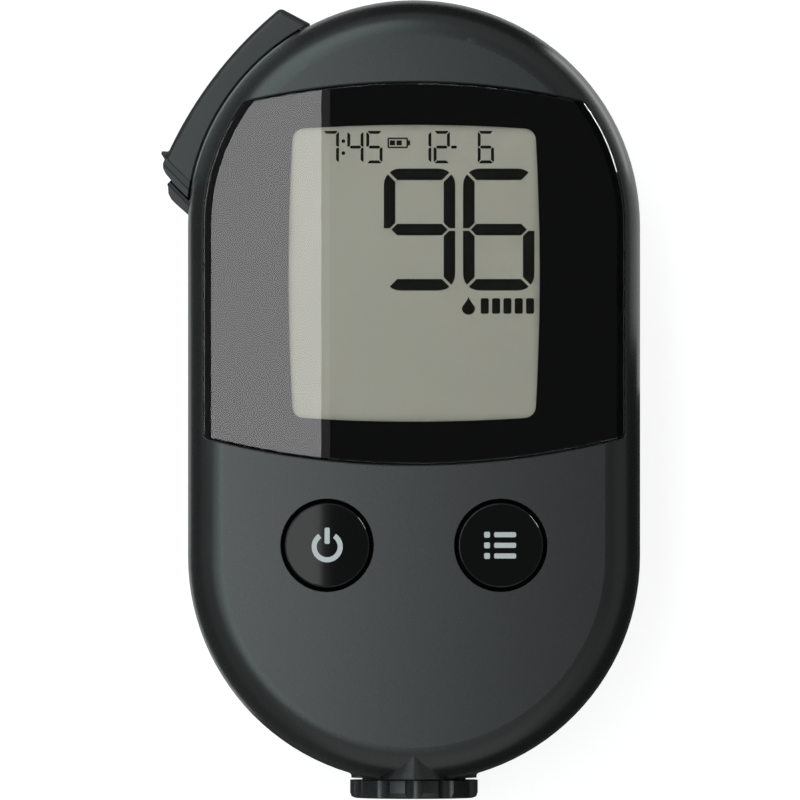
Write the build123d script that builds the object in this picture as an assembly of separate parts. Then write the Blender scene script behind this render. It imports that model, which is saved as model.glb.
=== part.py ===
from build123d import *
from math import acos, atan2, cos, degrees, hypot, pi, radians, sin, sqrt, tan
import os

# A hand-held blood glucose meter that lies on its flat back. +Z points out of the
# front face, +Y to the end with the test tip, and X across. The origin is the centre
# of the flat back, midway between the centres of the two round ends. Millimetres.

# ---------------------------------------------------------------- driving sizes
# Case
BODY_W = 64.0
BODY_L = 110.7
BODY_H = 28.0
SPLIT_Z = 14.0            # parting plane between the two case halves
WALL = 1.8
FRONT_FILLET = 5.0
REAR_FILLET = 4.5
SEAM_CHAMFER = 0.25
FIT_GAP = 0.1             # between pieces that are fitted to each other
SHAFT_GAP = 0.05          # radial, round a turning shaft
SLIDE_GAP = 0.3           # between a moving piece and what it passes

# Window panel
WINDOW_INSET = 2.04       # from the case outline to the recess
WINDOW_TOP_FROM_END = 11.49   # from the upper end of the case to the panel's upper edge
WINDOW_TOP_R = 104.6
WINDOW_L = 54.44
WINDOW_BOTTOM_R = 116.9
WINDOW_CORNER_R = 1.0
LENS_T = 1.7
LENS_GAP = 0.25
LENS_EDGE_R = 0.25
LENS_BEVEL_W = 1.05       # bevel down both long sides
LENS_BEVEL_H = 0.95
MASK_T = 0.15
LEDGE_T = 1.25            # what carries the lens
LEDGE_MARGIN = 1.2

# Display
VIEW_HALF_W = 17.75       # clear window in the mask
VIEW_FROM_WINDOW_TOP = 6.21
VIEW_L = 41.95
VIEW_CROWN = 0.62
VIEW_CORNER_R = 1.7
LCD_MARGIN_X = 1.85       # glass beyond the clear window
LCD_MARGIN_Y = 2.2
LCD_T = 1.85
LCD_RIM = 1.6
LCD_RIM_H = 0.6
ZEBRA_W = 1.6
ZEBRA_HALF_L = 15.8
ZEBRA_FROM_GLASS_END = 1.0
GLASS_CORNER = 0.5

# Buttons
BUTTON_X = 12.27
BUTTONS_BELOW_WINDOW = 11.19
BUTTON_R = 6.05
BUTTON_FACE_R = 4.9
BUTTON_CROWN_R = 5.65
BUTTON_HOLE_R = 6.6
BUTTON_FLANGE_R = 7.2
BUTTON_FLANGE_T = 0.8
BUTTON_TRAVEL = 0.8
BUTTON_CROWN_DROP = 0.06

# Circuit board and keypad
BOARD_T = 1.2
BOARD_INSET = 6.8
BOARD_BELOW_BUTTONS = 12.23
LCD_STANDOFF = 1.2
KEYPAD_T = 0.5
KEYPAD_HALF_W = 19.5
KEYPAD_HALF_L = 7.6
DOME_BASE_R = 4.0
DOME_TOP_R = 2.6
BOARD_SCREW_XYS = ((23.6, 34.0), (8.0, 79.0), (19.8, 2.7))    # each pair, y from the board's lower end
BOARD_SCREW_R = 0.7
BOARD_SCREW_HEAD_R = 1.5
BOARD_SCREW_HEAD_H = 0.9
BOARD_BOSS_R = 1.8
BOARD_PILOT_END = 0.4     # from the window recess to the pilot hole
BOARD_SCREW_END = 0.8     # from the window recess to the screw's tip
ROOM_UNDER_BOARD = 0.3    # round what reaches up to the board
BUZZER_XY = (-16.5, 27.5)       # y from the board's lower end
BUZZER_R = 4.5
BUZZER_H = 1.6
BUZZER_HOLE_R = 0.8
COMPONENTS = (                  # x, y from the board's lower end, width, length, height
    (-8.0, 10.0, 8.0, 8.0, 1.1),
    (9.0, 8.0, 5.0, 4.0, 0.9),
    (16.0, 26.0, 6.0, 4.0, 1.2),
    (4.0, 25.5, 3.2, 1.6, 0.8),
    (-2.0, 25.5, 3.2, 1.6, 0.8),
    (-16.0, 48.0, 10.0, 3.0, 2.0),
    (-14.0, 72.0, 8.0, 2.6, 1.8),
    (2.0, 40.0, 5.0, 5.0, 0.9),
)

# Case screws, set out from the centre of each round end
CASE_SCREW_FROM_WALL = 1.8      # from the inner wall to the screw's axis
CASE_SCREW_UPPER_DEG = (4.0, 176.0)
CASE_SCREW_LOWER_DEG = (-42.0, -138.0)
CASE_SCREW_R = 0.95
CASE_SCREW_HEAD_R = 1.7
CASE_SCREW_HEAD_H = 1.4
CASE_SCREW_SEAT_Z = 8.8
CASE_SCREW_L = 10.7
CASE_BOSS_R = 2.8

# Middle frame
FRAME_T = 1.1
FRAME_PAST_BAY = 0.4
FRAME_POCKET_XS = (-18.0, 0.0, 18.0)
FRAME_POCKET_SIZE = (10.0, 13.0)
FRAME_POCKET_FLOOR = 0.5
GUIDE_RIB_T = 1.2

# Tip shutter
SHUTTER_TURN = 42.0
SHUTTER_Z0 = 3.5
SHUTTER_Z1 = 20.5
SHUTTER_WALL = 1.2
SHUTTER_REAR_WALL = 1.1
SHUTTER_ARC_R = 57.8
SHUTTER_DEEPEST_DEG = 141.856   # where it stands furthest from the centre of the round end
SHUTTER_TIP_ROOM = 1.21         # from the test tip to the inside of the shutter
SHUTTER_CASE_GAP = 0.35
SHUTTER_END_OFFSET = (-18.83, 30.92)    # closed end's outer corner, from the centre of the round end
SHUTTER_END_SLOPE = -27.9       # degrees, the run of the closed end wall
SHUTTER_FOOT_D = 17.918         # from the same centre to the lower end, which runs at 45 degrees
SHUTTER_CORNER_R = 0.9
SHUTTER_EDGE_R = 0.8
TONGUE_DEG = (128.0, 168.0)
TONGUE_T = 1.0
HOOK_T = 1.0
HOOK_H = 2.6
SLOT_SLACK_DEG = 2.0
GRIP_STEP = 1.0                 # slope band at the foot of the shutter
GRIP_W = 1.9
GRIP_SLOPE_DROP = 0.9           # slope and ridge below the shutter's face
GRIP_RIDGE_DROP = 0.2
NUB_INSET = 2.0
# thumb grip's and finger rest's outlines, from the outer corner of the shutter's foot
GRIP_OUTLINE = ((1.14, 1.45), (0.21, 0.85), (-0.56, 0.9), (-0.72, 0.55), (-0.21, -0.3), (-0.44, -0.85),
                (-0.42, -1.55), (-0.06, -2.3), (0.64, -3.15), (2.14, -5.65), (8.14, -5.65))
REST_GAP = 0.2
REST_DROP = 0.6
REST_GROOVE = (0.15, 0.45)
REST_GROOVE_DEPTH = 0.6
REST_LIP_T = 1.0                # lip that reaches under the shutter's foot
REST_OUTLINE = ((0.69, -2.95), (0.42, -3.55), (0.28, -4.25), (0.34, -5.15), (0.74, -5.95), (1.44, -6.65),
                (3.14, -8.15), (7.14, -8.15), (7.14, -2.95))

# Test cassette
CASSETTE_R = 24.8
CASSETTE_GAP = 0.5
CASSETTE_FLAT = 8.65            # from the centre of the round end to the cassette's straight side
CASSETTE_Z0 = 2.0
CASSETTE_UNDER_FRAME = 0.5
CASSETTE_WALL = 1.0
SUPPLY_OFFSET = (-11.2, 3.25)   # reel centres, from the centre of the round end
TAKE_UP_OFFSET = (11.6, 7.65)
REEL_Z0 = 3.3
REEL_UNDER_LID = 0.8
REEL_FLANGE_T = 0.8
HUB_R = 4.2
SUPPLY_FLANGE_R = 9.6
TAKE_UP_FLANGE_R = 9.0
SUPPLY_ROLL_R = 7.4
TAKE_UP_ROLL_R = 6.6
SUPPLY_POST_R = 1.6
SPINDLE_R = 2.0
TAPE_T = 0.25
TAPE_W = 4.4
TAPE_Z0 = 5.7
TIP_DEG = 142.0
TIP_PROUD = 1.0                 # beyond the case's side
TIP_L = 12.0
TIP_CORE_HALF_W = 2.4
TIP_HALF_W = 3.9
TIP_PLATE_T = 0.6
TIP_CORNER_R = 0.8

# Drive
GEAR_MODULE = 0.5
GEAR_TEETH = 36
PINION_TEETH = 14
PRESSURE_DEG = 20.0
BACKLASH = 0.12
GEAR_OVER_FRAME = 0.6
GEAR_T = 1.8
PINION_DEG = -90.0              # direction from the drive gear to the pinion
MOTOR_R = 6.0
MOTOR_OVER_GEAR = 0.6
MOTOR_H = 4.2
MOTOR_SHAFT_R = 0.75
MOTOR_EAR_REACH = 9.0
MOTOR_POST_X = 7.6
MOTOR_POST_R = 1.4
MOTOR_EAR_T = 0.7
MOTOR_SHAFT_IN = 2.0            # how far the pinion's shaft goes into the motor
PINION_OVERLAP = 0.2            # pinion beyond each face of the gear
GEAR_HUB_WALL = 1.2
GEAR_HUB_RISE = 0.8
READER_HALF_DEG = 6.5
READER_GAP = 0.4

# Cassette door
DOOR_T = 1.6
DOOR_GAP = 0.3
HINGE_BELOW_CASSETTE = 1.8
HINGE_Z = 1.35
HINGE_BARREL_R = 1.25
HINGE_PIN_R = 0.6
LUG_X = (14.2, 17.2)
LUG_GAP = 0.2
HINGE_PIN_X = (12.2, 19.8)
HINGE_RECESS = 1.5              # from the hinge's axis to the end of its recess
DOOR_CORNER_RISE = 0.5
DOOR_THUMB_FROM_RIM = 5.0
DOOR_THUMB_R = 7.6
DOOR_THUMB_DEPTH = 0.7

# Cells, across the case
CELL_R = 5.2
CELL_L = 43.4
CELL_NUB_R = 1.9
CELL_NUB_L = 0.9
CELL_GAP = 0.8                  # between the two cells
CELL_SIDE_GAP = 0.6             # between a cell and the bay's side
CELL_OVER_DOOR = 0.4
CELL_END_ROOM = 3.05            # for the contact and spring past a cell's end
CELL_EDGE_R = 0.4
CELL_CONTACT_BUTTON_R = 1.5
BAY_WALL = 1.0
BAY_FROM_HINGE = 2.9
BATTERY_DOOR_MARGIN = 0.6       # from the bay's side to the door's edge
BATTERY_DOOR_CORNER_R = 0.6
DOOR_GRIP_GROOVES = 5
DOOR_GRIP_FROM_EDGE = 3.0
DOOR_GRIP_HALF_L = 7.0
DOOR_GRIP_DEPTH = 0.4
GRIP_PITCH = 1.6
GRIP_GROOVE_W = 0.7
CONTACT_T = 0.4
CONTACT_SIZE = 8.0
CELL_SPRING_R = 2.6
CELL_SPRING_WIRE = 0.5
CELL_SPRING_TURNS = 2.5

# Lancer, in the lower end
COLLAR_R = 8.9
COLLAR_SET_BACK = 0.5           # from the lower end of the outline to the flat of the collar
COLLAR_FLARE_R = 10.4
COLLAR_FLARE = ((0.0, 0.35), (0.18, 0.7), (0.5, 1.0), (1.0, 1.3))   # share of the flare, height
COLLAR_ROOT = 3.0
NECK_R = 7.35
BARREL_R = 6.9
BARREL_BORE_R = 5.6
BARREL_FROM_BAY = 0.7
BARREL_END_WALL = 1.2
FLANGE_R = 8.4
FLANGE_T = 1.4
FLANGE_ROOM = 3.5               # length of the seat that takes the flange
FLANGE_FROM_COLLAR = 1.95
SPRING_STEP_RISE = 4.85         # above the collar's flat, as are the next ones that end in RISE
SPRING_STEP_T = 1.0
SPRING_STEP_R = 3.6
PLUNGER_GAP = 0.1
PLUNGER_RISE = 12.85
PLUNGER_L = 15.0
PLUNGER_TAIL_R = 2.2
LANCET_R = 3.0
LANCET_RISE = 3.35
LANCET_L = 15.3
LANCET_NOSE = ((1.2, 0.0), (0.9, 2.5), (0.0, 3.0))     # step in from the side, height above the nose
NEEDLE_R = 0.25
NEEDLE_L = 3.4
NEEDLE_POINT_L = 1.0
STEM_RISE = 18.85
STEM_L = 4.0
STEM_HALF_W = 1.5
STEM_BELOW_AXIS = 3.6
SPRING_CLEAR = 0.8              # left between pieces when the plunger is fully back
DRIVE_SPRING_R = 4.0
DRIVE_SPRING_WIRE = 0.6
DRIVE_SPRING_TURNS = 6.5
RETURN_SPRING_R = 4.4
RETURN_SPRING_WIRE = 0.5
RETURN_SPRING_TURNS = 4.5
COCK_BACK = 5.0
COCK_FORWARD = 3.5
THUMB_RISE = 13.85
THUMB_L = 13.2
THUMB_HALF_W = 6.0
THUMB_CORNER_R = 1.5
THUMB_GROOVES = 6
THUMB_GROOVE_FROM_END = 2.6
THUMB_GROOVE_DEPTH = 0.5
THUMB_Z0 = 0.4                  # set back from the flat of the back
SLIDE_FLANGE_RISE = 8.85
SLIDE_FLANGE_HALF_W = 8.0
SLIDE_FLANGE_T = 1.0
SADDLE_RISE = 7.35
SADDLE_FROM_BARREL_END = 5.5
SADDLE_T = 1.5
SADDLE_LEG = 3.5                # beyond the cocking slide, on each side
SADDLE_SIDE_GAP = 0.5
SADDLE_OVER_SLIDE = 0.6
RELEASE_X = 15.5
RELEASE_RISE = 24.85
RELEASE_R = 3.6
RELEASE_TRAVEL = 1.2
RELEASE_DISH_R = 10.0
RELEASE_DISH_DEPTH = 0.5
RELEASE_FLANGE_T = 0.9
RELEASE_STEM_H = 2.8
RELEASE_POST_GAP = 0.4          # between its post and the barrel
RELEASE_POST_T = 1.4
RELEASE_ARM_T = 1.2
RELEASE_ARM_HALF_W = 1.0

# Depth dial
DIAL_R = 9.15
DIAL_L = 2.55
DIAL_GAP = 0.33
DIAL_EDGE_R = 0.8
DIAL_END_WALL = 0.8
DIAL_MOUTH_R = 3.2
DIAL_FLUTES = 12
FLUTE_R = 1.7
FLUTE_RING_R = 10.2
SNAP_DEPTH = 0.35
SNAP_W = 0.5
SNAP_FROM_DIAL_END = 0.7
DIAL_MOUTH_CHAMFER = 0.5

# Pointer on the front cover, above the dial
POINTER_BASE_R = 5.6
POINTER_BASE_DROP = 0.5         # crest below the front face
POINTER_TIP_R = 0.8
POINTER_TIP_DROP = 0.1
POINTER_L = 3.65

# ---------------------------------------------------------------- worked-out sizes
END_R = BODY_W / 2
ARC_Y = BODY_L / 2 - END_R
COLLAR_Y = -BODY_L / 2 + COLLAR_SET_BACK
LANCER_Z = BODY_H / 2
WINDOW_TOP_Y = BODY_L / 2 - WINDOW_TOP_FROM_END
WINDOW_BOTTOM_Y = WINDOW_TOP_Y - WINDOW_L
VIEW_Y1 = WINDOW_TOP_Y - VIEW_FROM_WINDOW_TOP
VIEW_Y0 = VIEW_Y1 - VIEW_L
BUTTON_Y = WINDOW_BOTTOM_Y - BUTTONS_BELOW_WINDOW
BOARD_END_Y = BUTTON_Y - BOARD_BELOW_BUTTONS
BOARD_SCREW_SITES = [(side * x, BOARD_END_Y + y) for x, y in BOARD_SCREW_XYS for side in (-1, 1)]
LENS_Z0 = BODY_H - LENS_T
RECESS_Z = LENS_Z0 - MASK_T
INNER_TOP_Z = BODY_H - WALL
LCD_Z1 = RECESS_Z - FIT_GAP
LCD_Z0 = LCD_Z1 - LCD_T
BOARD_Z1 = LCD_Z0 - LCD_STANDOFF
BOARD_Z0 = BOARD_Z1 - BOARD_T
FRAME_Z1 = SPLIT_Z
FRAME_Z0 = FRAME_Z1 - FRAME_T
BUTTON_FLANGE_Z1 = INNER_TOP_Z - FIT_GAP
BUTTON_Z0 = BUTTON_FLANGE_Z1 - BUTTON_FLANGE_T
DOME_TOP_Z = BUTTON_Z0 - BUTTON_TRAVEL - SHAFT_GAP
TONGUE_Z0 = SPLIT_Z + SLIDE_GAP
CASE_SCREW_RING_R = END_R - WALL - CASE_SCREW_FROM_WALL
TIP_REACH = END_R + TIP_PROUD           # from the centre of the round end
TIP_ROOT = TIP_REACH - TIP_L
SHUTTER_REACH = TIP_REACH + SHUTTER_TIP_ROOM + SHUTTER_WALL
SHUTTER_CENTRE_D = SHUTTER_ARC_R - SHUTTER_REACH
SHUTTER_ARC_CENTRE = (
    -SHUTTER_CENTRE_D * cos(radians(SHUTTER_DEEPEST_DEG)),
    ARC_Y - SHUTTER_CENTRE_D * sin(radians(SHUTTER_DEEPEST_DEG)),
)
SHUTTER_END_POINT = (SHUTTER_END_OFFSET[0], ARC_Y + SHUTTER_END_OFFSET[1])
SHUTTER_FOOT_SUM = ARC_Y - SHUTTER_FOOT_D * sqrt(2)     # x + y along the foot
HOOK_R1 = END_R - WALL - SLIDE_GAP
HOOK_R0 = HOOK_R1 - HOOK_T
CASSETTE_Z1 = FRAME_Z0 - CASSETTE_UNDER_FRAME
CASSETTE_Y0 = ARC_Y - CASSETTE_FLAT
REEL_Z1 = CASSETTE_Z1 - CASSETTE_WALL - REEL_UNDER_LID
SUPPLY_XY = (SUPPLY_OFFSET[0], ARC_Y + SUPPLY_OFFSET[1])
TAKE_UP_XY = (TAKE_UP_OFFSET[0], ARC_Y + TAKE_UP_OFFSET[1])
GEAR_Z0 = FRAME_Z1 + GEAR_OVER_FRAME
MOTOR_Z0 = GEAR_Z0 + GEAR_T + MOTOR_OVER_GEAR
BAY_R = CASSETTE_R + CASSETTE_GAP
HINGE_Y = CASSETTE_Y0 - HINGE_BELOW_CASSETTE
HINGE_RECESS_Y = HINGE_Y - HINGE_RECESS
CELL_PITCH = 2 * CELL_R + CELL_GAP
CELL_Z = DOOR_T + CELL_OVER_DOOR + CELL_R
CELL_HALF_SPAN = (CELL_L + CELL_NUB_L) / 2
BAY_HALF_L = CELL_HALF_SPAN + CELL_END_ROOM
BAY_Y1 = HINGE_Y - BAY_FROM_HINGE
BAY_Y0 = BAY_Y1 - CELL_PITCH - 2 * (CELL_R + CELL_SIDE_GAP)
CELL_Y = (BAY_Y0 + BAY_Y1) / 2
BATTERY_DOOR_HALF_L = BAY_HALF_L - BATTERY_DOOR_MARGIN
BATTERY_DOOR_Y0 = BAY_Y0 + BATTERY_DOOR_MARGIN
BATTERY_DOOR_Y1 = BAY_Y1 - BATTERY_DOOR_MARGIN
BAY_END_Y = BAY_Y0 - BAY_WALL
FRAME_END_Y = BAY_END_Y - FRAME_PAST_BAY
DIAL_Y1 = COLLAR_Y - DIAL_GAP
DIAL_Y0 = DIAL_Y1 - DIAL_L
NECK_END_Y = DIAL_Y0 + DIAL_END_WALL + FIT_GAP
FLANGE_Y = COLLAR_Y + FLANGE_FROM_COLLAR
BARREL_END_Y = BAY_END_Y - BARREL_FROM_BAY
SPRING_STEP_Y = COLLAR_Y + SPRING_STEP_RISE
PLUNGER_Y = (COLLAR_Y + PLUNGER_RISE, COLLAR_Y + PLUNGER_RISE + PLUNGER_L)
PLUNGER_TAIL_Y = BARREL_END_Y - BARREL_END_WALL - COCK_BACK - SPRING_CLEAR
LANCET_Y = (COLLAR_Y + LANCET_RISE, COLLAR_Y + LANCET_RISE + LANCET_L)
STEM_Y = (COLLAR_Y + STEM_RISE, COLLAR_Y + STEM_RISE + STEM_L)
STEM_TOP_Z = LANCER_Z - STEM_BELOW_AXIS
THUMB_Y = (COLLAR_Y + THUMB_RISE, COLLAR_Y + THUMB_RISE + THUMB_L)
SLIDE_FLANGE_Y = (COLLAR_Y + SLIDE_FLANGE_RISE, BAY_END_Y - COCK_BACK - SPRING_CLEAR)
SADDLE_YS = (COLLAR_Y + SADDLE_RISE, BARREL_END_Y - SADDLE_FROM_BARREL_END)
RELEASE_XY = (RELEASE_X, COLLAR_Y + RELEASE_RISE)
SNAP_Y = DIAL_Y1 - SNAP_FROM_DIAL_END
GEAR_CENTRES = GEAR_MODULE * (GEAR_TEETH + PINION_TEETH) / 2
PINION_XY = (
    TAKE_UP_XY[0] + GEAR_CENTRES * cos(radians(PINION_DEG)),
    TAKE_UP_XY[1] + GEAR_CENTRES * sin(radians(PINION_DEG)),
)
LCD_HALF_W = VIEW_HALF_W + LCD_MARGIN_X
LCD_Y0 = VIEW_Y0 - LCD_MARGIN_Y
LCD_Y1 = VIEW_Y1 + LCD_MARGIN_Y
CELL_YS = (CELL_Y - CELL_PITCH / 2, CELL_Y + CELL_PITCH / 2)
BUTTON_XS = (-BUTTON_X, BUTTON_X)
UPRIGHT = (Align.CENTER, Align.CENTER, Align.MIN)


# ---------------------------------------------------------------- helpers
def block(x0, x1, y0, y1, z0, z1):
    """Box between six planes."""
    centre = Pos((x0 + x1) / 2, (y0 + y1) / 2, (z0 + z1) / 2)
    return centre * Box(x1 - x0, y1 - y0, z1 - z0)


def rod(x, y, r, z0, z1):
    """Upright cylinder."""
    return Pos(x, y, z0) * Cylinder(r, z1 - z0, align=UPRIGHT)


def rod_x(x0, x1, y, z, r):
    """Cylinder along X."""
    return Pos(x0, y, z) * Rot(0, 90, 0) * Cylinder(r, x1 - x0, align=UPRIGHT)


def rod_y(y0, y1, r, x=0.0, z=LANCER_Z):
    """Cylinder along Y, on the lancer's axis unless told otherwise."""
    return Pos(x, y0, z) * Rot(-90, 0, 0) * Cylinder(r, y1 - y0, align=UPRIGHT)


def turned_y(points):
    """Solid turned about the lancer's axis from (radius, y) points."""
    return Pos(0, 0, LANCER_Z) * revolve(Polygon(*points, align=None), Axis.Y)


def prism(face, z0, z1):
    """Face in the XY plane, raised from z0 to z1."""
    return Pos(0, 0, z0) * extrude(face, amount=z1 - z0, dir=(0, 0, 1))


def stadium(inset=0.0):
    """The case outline, moved inward by inset."""
    r = END_R - inset
    return SlotOverall(2 * (ARC_Y + r), 2 * r, rotation=90)


def end_disc(r, y0):
    """Disc round the centre of the upper end, cut off below y0."""
    half = Pos(0, y0 + 2 * BODY_L) * Rectangle(4 * BODY_L, 4 * BODY_L)
    return (Pos(0, ARC_Y) * Circle(r)) & half


def wedge(deg0, deg1):
    """Wedge of the XY plane seen from the centre of the upper end."""
    far = 2 * BODY_L
    turns = [deg0 + (deg1 - deg0) * share / 4 for share in range(5)]
    rim = [(far * cos(radians(a)), far * sin(radians(a))) for a in turns]
    return Pos(0, ARC_Y) * Polygon((0, 0), *rim, align=None)


def arc_band(r0, r1, deg0, deg1, z0, z1):
    """Part of an upright ring round the centre of the upper end."""
    ring = Pos(0, ARC_Y) * (Circle(r1) - Circle(r0))
    return prism(ring & wedge(deg0, deg1), z0, z1)


def beyond_foot(distance):
    """Half plane past a 45 degree line, that far below the shutter's lower end."""
    total = SHUTTER_FOOT_SUM - distance * sqrt(2)
    size = 4 * BODY_L
    centre = Vector(total / 2, total / 2) - Vector(1, 1).normalized() * (size / 2)
    return Pos(centre.X, centre.Y) * Rot(0, 0, 45) * Rectangle(size, size)


def end_point(r, deg, side=0.0):
    """Point at radius r and angle deg round the upper end, then side mm anticlockwise."""
    a = radians(deg)
    return (r * cos(a) - side * sin(a), ARC_Y + r * sin(a) + side * cos(a))


def window_face(gap=0.0):
    """Outline of the window panel, shrunk by gap all round."""
    face = stadium(WINDOW_INSET + gap)
    face &= Pos(0, WINDOW_TOP_Y - WINDOW_TOP_R) * Circle(WINDOW_TOP_R - gap)
    face &= Pos(0, WINDOW_BOTTOM_Y + WINDOW_BOTTOM_R) * Circle(WINDOW_BOTTOM_R - gap)
    ends = face.vertices().sort_by(Axis.Y)
    return fillet(ends[:2] + ends[-2:], WINDOW_CORNER_R)


def view_face():
    """The clear window: a rectangle with each side bowed outward and rounded corners."""
    x1, x0 = VIEW_HALF_W, VIEW_HALF_W - VIEW_CROWN
    y0, y1 = VIEW_Y0 + VIEW_CROWN, VIEW_Y1 - VIEW_CROWN
    middle = (VIEW_Y0 + VIEW_Y1) / 2
    sides = [
        ThreePointArc((-x0, y0), (0, VIEW_Y0), (x0, y0)),
        ThreePointArc((x0, y0), (x1, middle), (x0, y1)),
        ThreePointArc((x0, y1), (0, VIEW_Y1), (-x0, y1)),
        ThreePointArc((-x0, y1), (-x1, middle), (-x0, y0)),
    ]
    face = make_face(sides)
    return fillet(face.vertices(), VIEW_CORNER_R)


def case_screw_sites():
    """Centres of the four case screws."""
    sites = []
    for angles, y in ((CASE_SCREW_UPPER_DEG, ARC_Y), (CASE_SCREW_LOWER_DEG, -ARC_Y)):
        for deg in angles:
            a = radians(deg)
            sites.append((CASE_SCREW_RING_R * cos(a), y + CASE_SCREW_RING_R * sin(a)))
    return sites


def coil(radius, wire, length, turns):
    """Round-wire coil spring that stands on z = 0."""
    height = length - wire
    path = Helix(pitch=height / turns, height=height, radius=radius, center=(0, 0, wire / 2))
    return sweep(Plane(origin=path @ 0, z_dir=path % 0) * Circle(wire / 2), path=path)


def gear_face(teeth, turn_deg):
    """Involute spur gear outline with one tooth centred on the direction turn_deg."""
    pitch_r = GEAR_MODULE * teeth / 2
    base_r = pitch_r * cos(radians(PRESSURE_DEG))
    tip_r = pitch_r + 0.8 * GEAR_MODULE
    root_r = pitch_r - 1.1 * GEAR_MODULE
    start_r = max(base_r, root_r)
    flank_steps = 4

    def involute(r):
        angle = acos(min(1.0, base_r / r))
        return tan(angle) - angle

    half_tooth = pi / (2 * teeth) - BACKLASH / (2 * pitch_r) + involute(pitch_r)
    rises = [start_r + (tip_r - start_r) * i / flank_steps for i in range(flank_steps + 1)]
    flank = [(root_r, half_tooth - involute(start_r))] + [(r, half_tooth - involute(r)) for r in rises]
    if start_r == root_r:
        flank = flank[1:]
    points = []
    for tooth in range(teeth):
        middle = radians(turn_deg) + 2 * pi * tooth / teeth
        points += [(r * cos(middle - a), r * sin(middle - a)) for r, a in flank]
        points += [(r * cos(middle + a), r * sin(middle + a)) for r, a in reversed(flank)]
    return Polygon(*points, align=None)


def tangent_point(centre, r, outside, side):
    """Where a line from outside touches the circle; side is +1 or -1."""
    dx, dy = outside[0] - centre[0], outside[1] - centre[1]
    a = atan2(dy, dx) + side * acos(r / hypot(dx, dy))
    return (centre[0] + r * cos(a), centre[1] + r * sin(a))


# ---------------------------------------------------------------- case
def outer_shell(z0, z1, edge_r, front):
    """Solid case half with its rounded rim and its half of the collar."""
    shell = prism(stadium(), z0, z1)
    rim = shell.faces().sort_by(Axis.Z)[-1 if front else 0]
    shell = fillet(rim.edges(), edge_r)
    seam = shell.faces().sort_by(Axis.Z)[0 if front else -1]
    shell = chamfer(seam.edges(), SEAM_CHAMFER)
    flare = COLLAR_FLARE_R - COLLAR_R
    flared = [(COLLAR_R + share * flare, COLLAR_Y + rise) for share, rise in COLLAR_FLARE]
    collar = turned_y([(0, COLLAR_Y), (COLLAR_R, COLLAR_Y), *flared, (COLLAR_FLARE_R, COLLAR_Y + COLLAR_ROOT),
                       (0, COLLAR_Y + COLLAR_ROOT)])
    side = block(-BODY_W, BODY_W, -BODY_L, BODY_L, z0, z1)
    below_collar = block(-BODY_W, BODY_W, -BODY_L, COLLAR_Y, -BODY_H, 2 * BODY_H)
    return shell + (collar & side) - below_collar


def shell_cavity(z0, z1, edge_r, front):
    """Inside of a case half."""
    cavity = prism(stadium(WALL), z0, z1)
    rim = cavity.faces().sort_by(Axis.Z)[-1 if front else 0]
    return fillet(rim.edges(), edge_r)


def lancer_seat():
    """Room for the lancer's neck and flange, cut from both case halves."""
    neck = rod_y(COLLAR_Y - 1.0, FLANGE_Y + FLANGE_T, NECK_R + FIT_GAP)
    flange = rod_y(FLANGE_Y - SHAFT_GAP, FLANGE_Y + FLANGE_ROOM, FLANGE_R + FIT_GAP)
    return neck + flange


def shutter_slot():
    """Slot in the case wall for the shutter's tongue."""
    deg0, deg1 = TONGUE_DEG
    top = TONGUE_Z0 + TONGUE_T + SLIDE_GAP
    start = deg0 - SHUTTER_TURN - SLOT_SLACK_DEG
    return arc_band(END_R - WALL - 0.5, END_R + 0.5, start, deg1 + SLOT_SLACK_DEG, SPLIT_Z - 0.01, top)


def pointer():
    """Cone that shows the dial's setting, faired into the front cover."""
    z_base = BODY_H - POINTER_BASE_DROP - POINTER_BASE_R
    z_tip = BODY_H - POINTER_TIP_DROP - POINTER_TIP_R
    base = Plane(origin=(0, COLLAR_Y, z_base), z_dir=(0, 1, 0)) * Circle(POINTER_BASE_R)
    tip = Plane(origin=(0, COLLAR_Y + POINTER_L, z_tip), z_dir=(0, 1, 0)) * Circle(POINTER_TIP_R)
    return loft([base.face(), tip.face()])


def make_front_cover():
    cover = outer_shell(SPLIT_Z, BODY_H, FRONT_FILLET, front=True)
    cover += pointer()
    cavity = shell_cavity(SPLIT_Z, INNER_TOP_Z, FRONT_FILLET - WALL, front=True)
    ledge_face = window_face(-LEDGE_MARGIN) & stadium(WALL / 2)
    cavity -= prism(ledge_face, RECESS_Z - LEDGE_T, BODY_H)
    cover -= cavity
    for x, y in BOARD_SCREW_SITES:
        cover += rod(x, y, BOARD_BOSS_R, BOARD_Z1, INNER_TOP_Z + 0.1)
        cover -= rod(x, y, BOARD_SCREW_R + SHAFT_GAP, BOARD_Z1 - 1, RECESS_Z - BOARD_PILOT_END)
    cover -= prism(window_face(), RECESS_Z, 2 * BODY_H)
    cover -= block(-LCD_HALF_W - FIT_GAP, LCD_HALF_W + FIT_GAP, LCD_Y0 - FIT_GAP, LCD_Y1 + FIT_GAP,
                   SPLIT_Z, BODY_H)
    for x in BUTTON_XS:
        cover -= rod(x, BUTTON_Y, BUTTON_HOLE_R, SPLIT_Z, 2 * BODY_H)
    inside = prism(stadium(WALL / 2), SPLIT_Z, INNER_TOP_Z - 1.0)
    for x, y in case_screw_sites():
        cover += rod(x, y, CASE_BOSS_R, SPLIT_Z, INNER_TOP_Z) & inside
        cover -= rod(x, y, CASE_SCREW_R + SHAFT_GAP, SPLIT_Z - 1, CASE_SCREW_SEAT_Z + CASE_SCREW_L + 0.5)
    saddle = block(-COLLAR_R, COLLAR_R, SADDLE_YS[0], SADDLE_YS[0] + SADDLE_T, SPLIT_Z + FIT_GAP,
                   INNER_TOP_Z + 0.2)
    cover += saddle - rod_y(-BODY_L, 0, BARREL_R + SHAFT_GAP)
    cover -= lancer_seat()
    return cover - shutter_slot()


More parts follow.
